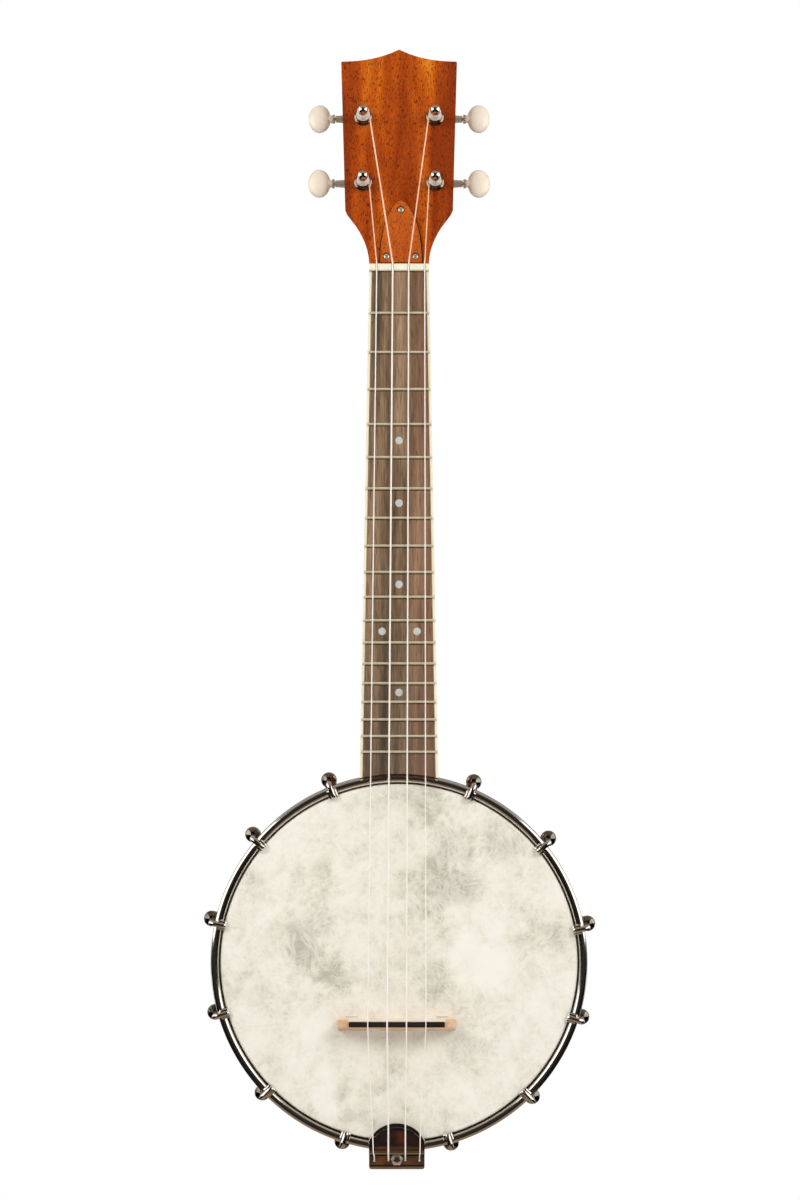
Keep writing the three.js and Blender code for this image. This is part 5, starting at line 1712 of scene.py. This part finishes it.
@dataclass
class Tailpiece:
    """The bent tailpiece, and the bracket, bolt and nut that hold it to the rim."""

    pot: Pot
    offset: float = -1.3
    width: float = 32.2
    sheet: float = 1.3
    reach: float = 18.5
    lip_drop: float = 0.3
    lip_bevel: float = 2.4
    proud: float = 4.6
    bend: float = 3.2
    shelf_depth: float = 4.0
    shelf_length: float = 7.6
    roll: Pair = (2.2, 1.4)
    arch: float = 18.2
    bolt_along: float = 3.5
    hole_past_bolt: float = 0.9
    hole_air: float = 0.4
    grooves: tuple[tuple[int, float], ...] = ((5, 0.3), (6, 0.15), (11, 0.3), (12, 0.15))
    hanger_front: float = 16.6
    hanger_back: float = 46.0
    hanger_width: float = 16.0
    nut_flats: float = 6.3
    nut_height: float = 3.0
    corner: float = 1.6
    bolt: float = 1.9

    @property
    def wall(self) -> float:
        """How far below the head's centre the tailpiece's upright wall has its front."""
        return self.pot.hoop_outer + FIT + self.sheet

    @property
    def shelf_end(self) -> float:
        """How far below the head's centre the shelf ends."""
        return self.wall + self.shelf_length

    def build(self, holes: Sequence[Pair]) -> None:
        """Makes the sheet, the bracket and the nut.

        Args:
            holes: Where each string goes through the shelf, and its gauge.
        """
        self._sheet(holes)
        self._hanger()

    def _route(self, x: float) -> list[Pair]:
        """Lists the sheet's front face at one place across it, as distances below the centre and depths."""
        bow = self.arch - math.sqrt(max(self.arch**2 - x * x, 0.0))
        lip = self.wall - self.reach + bow
        plate = -self.proud
        drop = plate + self.lip_drop
        route = [
            (lip, drop + 0.3), (lip + 0.1, drop + 0.05), (lip + 0.4, drop - 0.06), (lip + 1.0, drop - 0.18),
            (lip + 1.7, plate + 0.13), (lip + 2.3, plate + 0.04), (lip + 2.5, plate + 0.18),
            (lip + 2.7, plate + 0.02),
        ]
        start = lip + self.lip_bevel + 0.7
        route.append((start, plate))
        stop = self.wall - self.bend
        route += [(start + (stop - start) * step / 8, plate) for step in range(1, 8)]
        for step in range(1, 19):
            groove = dict(self.grooves).get(step, 0.0)
            route += arc((stop, plate + self.bend), self.bend - groove, 5.0 * step - 90, 0, 1)[:1]
        wall, shelf = self.wall, self.shelf_depth
        route += [(wall, shelf - 0.8), (wall + 0.25, shelf - 0.2), (wall + 0.9, shelf)]
        route += [(wall + 0.9 + (self.shelf_length - 0.9) * step / 6, shelf) for step in range(1, 6)]
        route += arc((self.shelf_end, shelf + self.roll[0]), self.roll[0], -90, 0, 8)
        route.append((self.shelf_end + self.roll[0], shelf + sum(self.roll)))
        return route

    def _sheet(self, holes: Sequence[Pair]) -> None:
        """Bends a grid into the tailpiece's sheet, thickens it and drills it."""
        columns = 64
        rows = len(self._route(0.0)) - 1
        half = self.width / 2
        work = Workpiece()
        bmesh.ops.create_grid(work.mesh, x_segments=columns, y_segments=rows, size=1.0)

        def bend_to(at: Vector) -> Vector:
            """Sends a point of the flat grid to its place on the bent sheet."""
            x = at.x * half
            drop, depth = self._route(x)[min(round((at.y + 1) / 2 * rows), rows)]
            past = max(abs(x) - half + self.corner, 0.0)
            rounded = math.sqrt(max(self.corner**2 - past**2, 0.0))
            lowest = self.shelf_end + self.roll[0] - self.corner + rounded
            return Vector((x, depth, -min(drop, lowest)))

        work.reshape(bend_to)
        bmesh.ops.recalc_face_normals(work.mesh, faces=work.mesh.faces)
        if sum(face.normal.y * face.calc_area() for face in work.mesh.faces) > 0:
            bmesh.ops.reverse_faces(work.mesh, faces=work.mesh.faces)
        bmesh.ops.solidify(work.mesh, geom=work.mesh.faces, thickness=self.sheet)
        bmesh.ops.recalc_face_normals(work.mesh, faces=work.mesh.faces)
        work.soften(0.3, 2, 60)
        drop = self.wall + self.bolt_along
        for x, gauge in holes:
            drill = Workpiece().pin(gauge / 2 + self.hole_air, 1.0, 9.0, 20)
            work.carve(drill.move(Matrix.Translation((x, 0.0, -drop - self.hole_past_bolt))))
        work.move(Matrix.Translation((self.offset, 0.0, 0.0)))
        work.piece("tail_plate", Finishes.TAIL, nodes=["tailpiece"], smooth=40)

    def _hanger(self) -> None:
        """Makes the bracket behind the tailpiece with its bolt, and the hexagon nut on the shelf."""
        half = self.hanger_width / 2
        front = self.hanger_front
        inner = -self.pot.rim_radius - FIT
        thick = self.pot.hanger_sheet
        leg = Workpiece().block((-half, front, inner - thick), (half, self.hanger_back, inner))
        ear = Workpiece().block((-half, front, -self.shelf_end - 0.7), (half, front + thick, inner - 0.01))
        leg.carve(ear, "UNION").soften(0.5, 3, 50)
        rod = Matrix.Translation((-self.offset, self.pot.rod_depth, 0.0))
        hole = Workpiece().pin(self.pot.rod_thread + FIT, -150.0, -60.0, 32)
        leg.carve(hole.move(rod @ Matrix.Rotation(QUARTER_TURN, 4, "X")))
        drop = self.wall + self.bolt_along
        seat = self.shelf_depth - FIT
        top = seat - self.nut_height
        end = front + 0.5
        outline = [
            (0.0, top - 0.5), (self.bolt - 0.5, top - 0.5), (self.bolt, top), (self.bolt, end), (0.0, end),
        ]
        leg.add(Workpiece().spin(outline, 32).move(Matrix.Translation((0.0, 0.0, -drop))))
        leg.move(Matrix.Translation((self.offset, 0.0, 0.0)))
        leg.piece("tail_bracket", Finishes.NICKEL, nodes=["tailpiece_hanger"])
        across = hexagon(self.nut_flats)
        bore = self.bolt + 0.02
        outline = [(bore, top), (2.2, top), (across, top + 0.6), (across, seat), (bore, seat)]
        place = Matrix.Translation((self.offset, 0.0, -drop)) @ Matrix.Rotation(math.pi / 3, 4, "Y")
        nut = Workpiece().spin(outline, 6, ring=True).soften(0.15, 2, 50).move(place)
        nut.piece("tail_nut", Finishes.SCREW, nodes=["tailpiece_hanger"])


@dataclass
class Strings:
    """The four strings, each from its knot behind the tailpiece to its winding on a post."""

    neck: Neck
    bridge: Bridge
    tail: Tailpiece
    tuners: Sequence[Tuner]
    gauges: tuple[float, ...] = (0.68, 0.98, 0.83, 0.63)
    nut_spacing: float = 9.3
    nut_offset: float = 0.95
    holes: tuple[float, ...] = (-13.05, -4.85, 4.95, 13.15)
    lips: tuple[float, ...] = (-14.1, -4.9, 4.95, 13.65)
    winding_height: float = 6.3
    winding_air: float = 0.06
    winding_cone: float = 0.6
    winding_lowest: float = 3.3
    knot: float = 2.2
    knot_share: float = 2.7
    end_reach: float = 2.7
    end_radius: float = 0.45

    def drills(self) -> list[Pair]:
        """Lists where the strings go through the tailpiece's shelf, and their gauges."""
        return list(zip(self.holes, self.gauges))

    def build(self) -> None:
        """Makes the four strings and the cut ends on their posts."""
        for index, tuner in enumerate(self.tuners):
            number = index + 1
            node = [f"string_{number}"]
            radius = self.gauges[index] / 2
            winding = self._winding(index, tuner, radius)
            route = eased(self._run(index, radius) + winding[:1], 1.2, 4)
            string = Workpiece().sweep(route, radius)
            string.add(Workpiece().ball(radius * self.knot_share, 20).move(Matrix.Translation(route[0])))
            string.piece(f"nylon_string_{number}", Finishes.NYLON, nodes=node, smooth=70)
            wound = Workpiece().sweep(winding, radius)
            wound.piece(f"winding_{number}", Finishes.WINDING, nodes=node, smooth=70)
            self._cut_end(tuner, radius)

    def _run(self, index: int, radius: float) -> list[Vector]:
        """Lists a string's corners from its knot to the headstock's side of the nut.

        Args:
            index: The string's place in the row, from 0 at the left.
            radius: Its radius.

        Returns:
            The corners.
        """
        tail = self.tail
        hole = tail.offset + self.holes[index]
        lip = tail.offset + self.lips[index]
        drop = tail.wall + tail.bolt_along + tail.hole_past_bolt
        over = -tail.proud - FIT - radius
        wall = -tail.wall - FIT - radius
        lip_z = -(tail.wall - tail.reach) - tail.lip_bevel
        strip = self.bridge.strip[2] / 2
        nut_x = self.nut_offset + (index - MIDDLE_STRING) * self.nut_spacing
        return [
            Vector((hole, tail.shelf_depth + tail.sheet + self.knot, -drop)),
            Vector((hole, tail.shelf_depth - FIT - radius, -drop)),
            Vector((hole, -tail.proud + tail.bend / 2, wall - radius)),
            Vector(((hole + lip) / 2, over, -tail.wall + tail.bend / 2)),
            Vector((lip, over, lip_z)),
            Vector((self.bridge.string_x(index), -self.bridge.height, self.bridge.at - strip)),
            Vector((self.bridge.string_x(index), -self.bridge.height, self.bridge.at + strip)),
            self.neck.frame @ Vector((nut_x, -self.bridge.action, -FIT)),
            self.neck.frame @ Vector((nut_x, -self.bridge.action, self.neck.nut_thickness + FIT)),
        ]

    def _winding(self, index: int, tuner: Tuner, radius: float, loop: int = 48) -> list[Vector]:
        """Lists the points of a string's winding on its post.

        Args:
            index: The string's place in the row, from 0 at the left.
            tuner: The tuner that it is wound on.
            radius: The string's radius.
            loop: How many points each turn has.

        Returns:
            The points, from where the string meets the post.
        """
        side = tuner.side.value
        around = tuner.waist[0] + FIT + radius + self.winding_cone
        post = Vector((side * tuner.span / 2, tuner.height))
        leave = self.neck.head_frame.inverted() @ self._run(index, radius)[-1]
        toward = Vector((-side * (leave.x - post.x), leave.z - post.y))
        first = math.atan2(toward.y, toward.x) + math.acos(around / toward.length)
        rise = (2 * radius + self.winding_air) / loop
        points = []
        steps = round((math.floor(self.winding_height / (2 * radius + self.winding_air)) + 0.25) * loop)
        for step in range(steps + 1):
            angle = first + FULL_TURN * step / loop
            reach = around - self.winding_cone * step / steps
            x = post.x - side * reach * math.cos(angle)
            z = post.y + reach * math.sin(angle)
            points.append(self.neck.head_frame @ Vector((x, -self.winding_lowest - radius - rise * step, z)))
        return points

    def _cut_end(self, tuner: Tuner, radius: float) -> None:
        """Makes the string's end that passes through the post's hole and turns with the post."""
        height = -tuner.hole_height
        run = [Vector((side * self.end_reach, height, 0.0)) for side in (-1, 1)]
        node = [f"tuner_post_{tuner.name}"]
        end = Workpiece().sweep(run, min(radius, self.end_radius)).move(tuner.place)
        end.piece(f"string_end_{tuner.name}", Finishes.NYLON, f"post_{tuner.name}", node, smooth=70)


@dataclass(frozen=True)
class Card:
    """A board that only reflections see: a soft box, or a dark wall of the room."""

    name: str
    place: Triple
    size: Pair
    turn: Triple
    tone: str
    strength: float = 1.0
    second_tone: str = ""
    pattern: Triple = (0.022, 0.022, 0.022)
    fade: Pair = (0.0, 0.0)
    threshold: Pair = (0.42, 0.62)

    def build(self) -> None:
        """Sets the card up."""
        fixed = {
            "Base Color": linear("#000000"), "Roughness": 1.0, "Specular IOR Level": 0.0,
            "Emission Strength": self.strength, "Emission Color": linear(self.tone),
        }
        shader = Shader(self.name, fixed)
        if self.second_tone:
            share = shader.noise(self.pattern, 2.0, 0.5, bend=0.8).between(*self.threshold)
            if self.fade[0] < self.fade[1]:
                share = shader.axis(1).between(*self.fade) * (1 - share * 0.4)
            shader.connect("Emission Color", shader.mix(share, self.tone, self.second_tone))
        turn = Euler([math.radians(angle) for angle in self.turn]).to_matrix().to_4x4()
        card = sheet(self.name, self.size, Matrix.Translation(self.place) @ turn, shader.material)
        card.visible_camera = False
        card.visible_diffuse = False
        card.visible_transmission = False
        card.visible_volume_scatter = False
        card.visible_shadow = False


@dataclass
class Studio:
    """The camera at the photograph's place, soft lamps, the room that the plate mirrors, and the floor."""

    distance: float = 2.0
    centre: Pair = (0.00055, 0.2101)
    pixels_per_mm: float = 1.726
    image_height: int = 1200
    sensor: float = 36.0
    clip: Pair = (0.05, 50.0)
    floor_at: float = -0.5
    floor_size: Pair = (12.0, 12.0)
    world_strength: float = 0.5
    lamp_power: float = 15.0
    lamp_shares: Pair = (1.0, 1.1)
    lamp_size: float = 0.8
    lamp_place: Triple = (1.25, -1.35, 1.15)
    lamp_target: Triple = (0.0, 0.0, 0.15)
    cards: tuple[Card, ...] = (
        Card("room_front", (0.0, -3.4, 0.8), (7.0, 3.6), (90.0, 0.0, 0.0), "#312d2b"),
        Card("room_left", (-2.6, -0.6, 0.8), (5.6, 3.6), (90.0, 0.0, 90.0), "#1a1715"),
        Card("room_right", (2.6, -0.6, 0.8), (5.6, 3.6), (90.0, 0.0, 90.0), "#1a1715"),
        Card("ceiling_front", (0.0, -2.65, 2.4), (5.4, 1.5), (0.0, 0.0, 0.0), "#171513"),
        Card("ceiling_back", (0.0, 0.15, 2.4), (5.4, 4.1), (0.0, 0.0, 0.0), "#958c80"),
        Card("back_wall", (0.0, 1.25, 0.15), (2.0, 2.0), (90.0, 0.0, 0.0), "#8a8784"),
        Card("ground", (0.0, -1.1, -0.485), (5.4, 4.6), (0.0, 0.0, 0.0), "#1b1613"),
        Card(
            "ground_near", (0.0, -0.075, -0.48), (0.84, 2.45), (0.0, 0.0, 0.0), "#2a221c", 1.0,
            "#a58e75", (0.0006, 0.012, 0.0006), (-1300.0, 200.0),
        ),
        Card(
            "ground_patch", (0.0, -2.53, -0.475), (0.12, 0.54), (0.0, 0.0, 0.0), "#2b2a2f", 1.0,
            "#4e3026", (0.07, 0.02, 0.07), threshold=(0.5, 0.62),
        ),
        Card(
            "warm_patch_left", (-0.022, -2.466, -0.47), (0.016, 0.07), (0.0, 0.0, 0.0), "#38251f", 1.0,
            "#83432c", (0.1, 0.03, 0.1),
        ),
        Card(
            "warm_patch_middle", (0.002, -2.38, -0.47), (0.009, 0.1), (0.0, 0.0, 0.0), "#3e241c", 1.0,
            "#94452b", (0.12, 0.03, 0.12),
        ),
        Card(
            "ground_strip", (0.0, -2.03, -0.475), (0.12, 0.46), (0.0, 0.0, 0.0), "#4f3d32", 1.0,
            "#96603f", (0.06, 0.03, 0.06), threshold=(0.46, 0.64),
        ),
        Card("soft_box_left", (-1.5, -0.5, 0.765), (3.0, 1.47), (90.0, 0.0, 90.0), "#fff6ea", 1.9),
        Card("soft_box_right", (1.5, -0.5, 0.765), (3.0, 1.47), (90.0, 0.0, 90.0), "#fff6ea", 1.9),
    )

    def build(self) -> None:
        """Sets up the whole studio."""
        self._camera()
        self._world()
        self._lamps()
        for card in self.cards:
            card.build()
        self._floor()

    def _camera(self) -> None:
        """Stands the camera in front of the head."""
        data = bpy.data.cameras.new("camera")
        data.sensor_width = self.sensor
        data.lens = self.sensor * self.distance / METRES_PER_MM * self.pixels_per_mm / self.image_height
        data.clip_start, data.clip_end = self.clip
        camera = bpy.data.objects.new("camera", data)
        camera.location = (self.centre[0], -self.distance, self.centre[1])
        camera.rotation_euler = (QUARTER_TURN, 0.0, 0.0)
        bpy.context.scene.collection.objects.link(camera)
        bpy.context.scene.camera = camera

    def _world(self) -> None:
        """Makes the background white, and an even fill light for what isn't seen directly."""
        world = bpy.data.worlds.new("studio")
        world.use_nodes = True
        bpy.context.scene.world = world
        nodes = Nodes(world.node_tree)
        fill, white = (
            nodes.node("ShaderNodeBackground", None, {"Color": linear("#ffffff"), "Strength": strength})
            for strength in (self.world_strength, 1.0)
        )
        nodes.show("World Output", fill, white)

    def _lamps(self) -> None:
        """Hangs a soft lamp at the upper left and one at the upper right, as much in front as aside."""
        target = Vector(self.lamp_target)
        across, front, above = self.lamp_place
        for name, side, share in zip(("lamp_left", "lamp_right"), (-1, 1), self.lamp_shares):
            data = bpy.data.lights.new(name, "AREA")
            data.shape = "RECTANGLE"
            data.size = self.lamp_size
            data.size_y = self.lamp_size
            data.energy = self.lamp_power * share
            lamp = bpy.data.objects.new(name, data)
            lamp.location = (side * across, front, above)
            lamp.rotation_euler = (target - lamp.location).to_track_quat("-Z", "Y").to_euler()
            lamp.visible_glossy = False
            bpy.context.scene.collection.objects.link(lamp)

    def _floor(self) -> None:
        """Lays the pale floor, which the camera sees as white."""
        shader = Shader("pale_floor", {"Base Color": (0.8, 0.8, 0.8, 1.0), "Roughness": 0.8})
        glow = shader.node("ShaderNodeEmission", None, {"Color": (1.0, 1.0, 1.0, 1.0), "Strength": 1.0})
        shader.show("Material Output", shader.surface, glow)
        place = Matrix.Translation((0.0, 0.0, self.floor_at))
        floor = sheet("floor", self.floor_size, place, shader.material)


def main() -> None:
    """Dresses the frame, piece by piece."""
    logging.basicConfig(level=logging.INFO, format="%(message)s")
    for leftover in list(bpy.data.objects):
        bpy.data.objects.remove(leftover)
    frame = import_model()
    bpy.context.scene.view_settings.view_transform = "Standard"
    Studio().build()
    pot = Pot()
    pot.build()
    neck = Neck(pot)
    neck.build(frame["nodes"])
    places = (
        ("low_left", Side.LEFT, LOW_TUNERS_AT), ("high_left", Side.LEFT, HIGH_TUNERS_AT),
        ("high_right", Side.RIGHT, HIGH_TUNERS_AT), ("low_right", Side.RIGHT, LOW_TUNERS_AT),
    )
    tuners = [Tuner(neck, name, side, height) for name, side, height in places]
    for tuner in tuners:
        tuner.build()
    bridge = Bridge(neck)
    bridge.build()
    tail = Tailpiece(pot)
    strings = Strings(neck, bridge, tail, tuners)
    tail.build(strings.drills())
    strings.build()


if __name__ == "__main__":
    main()
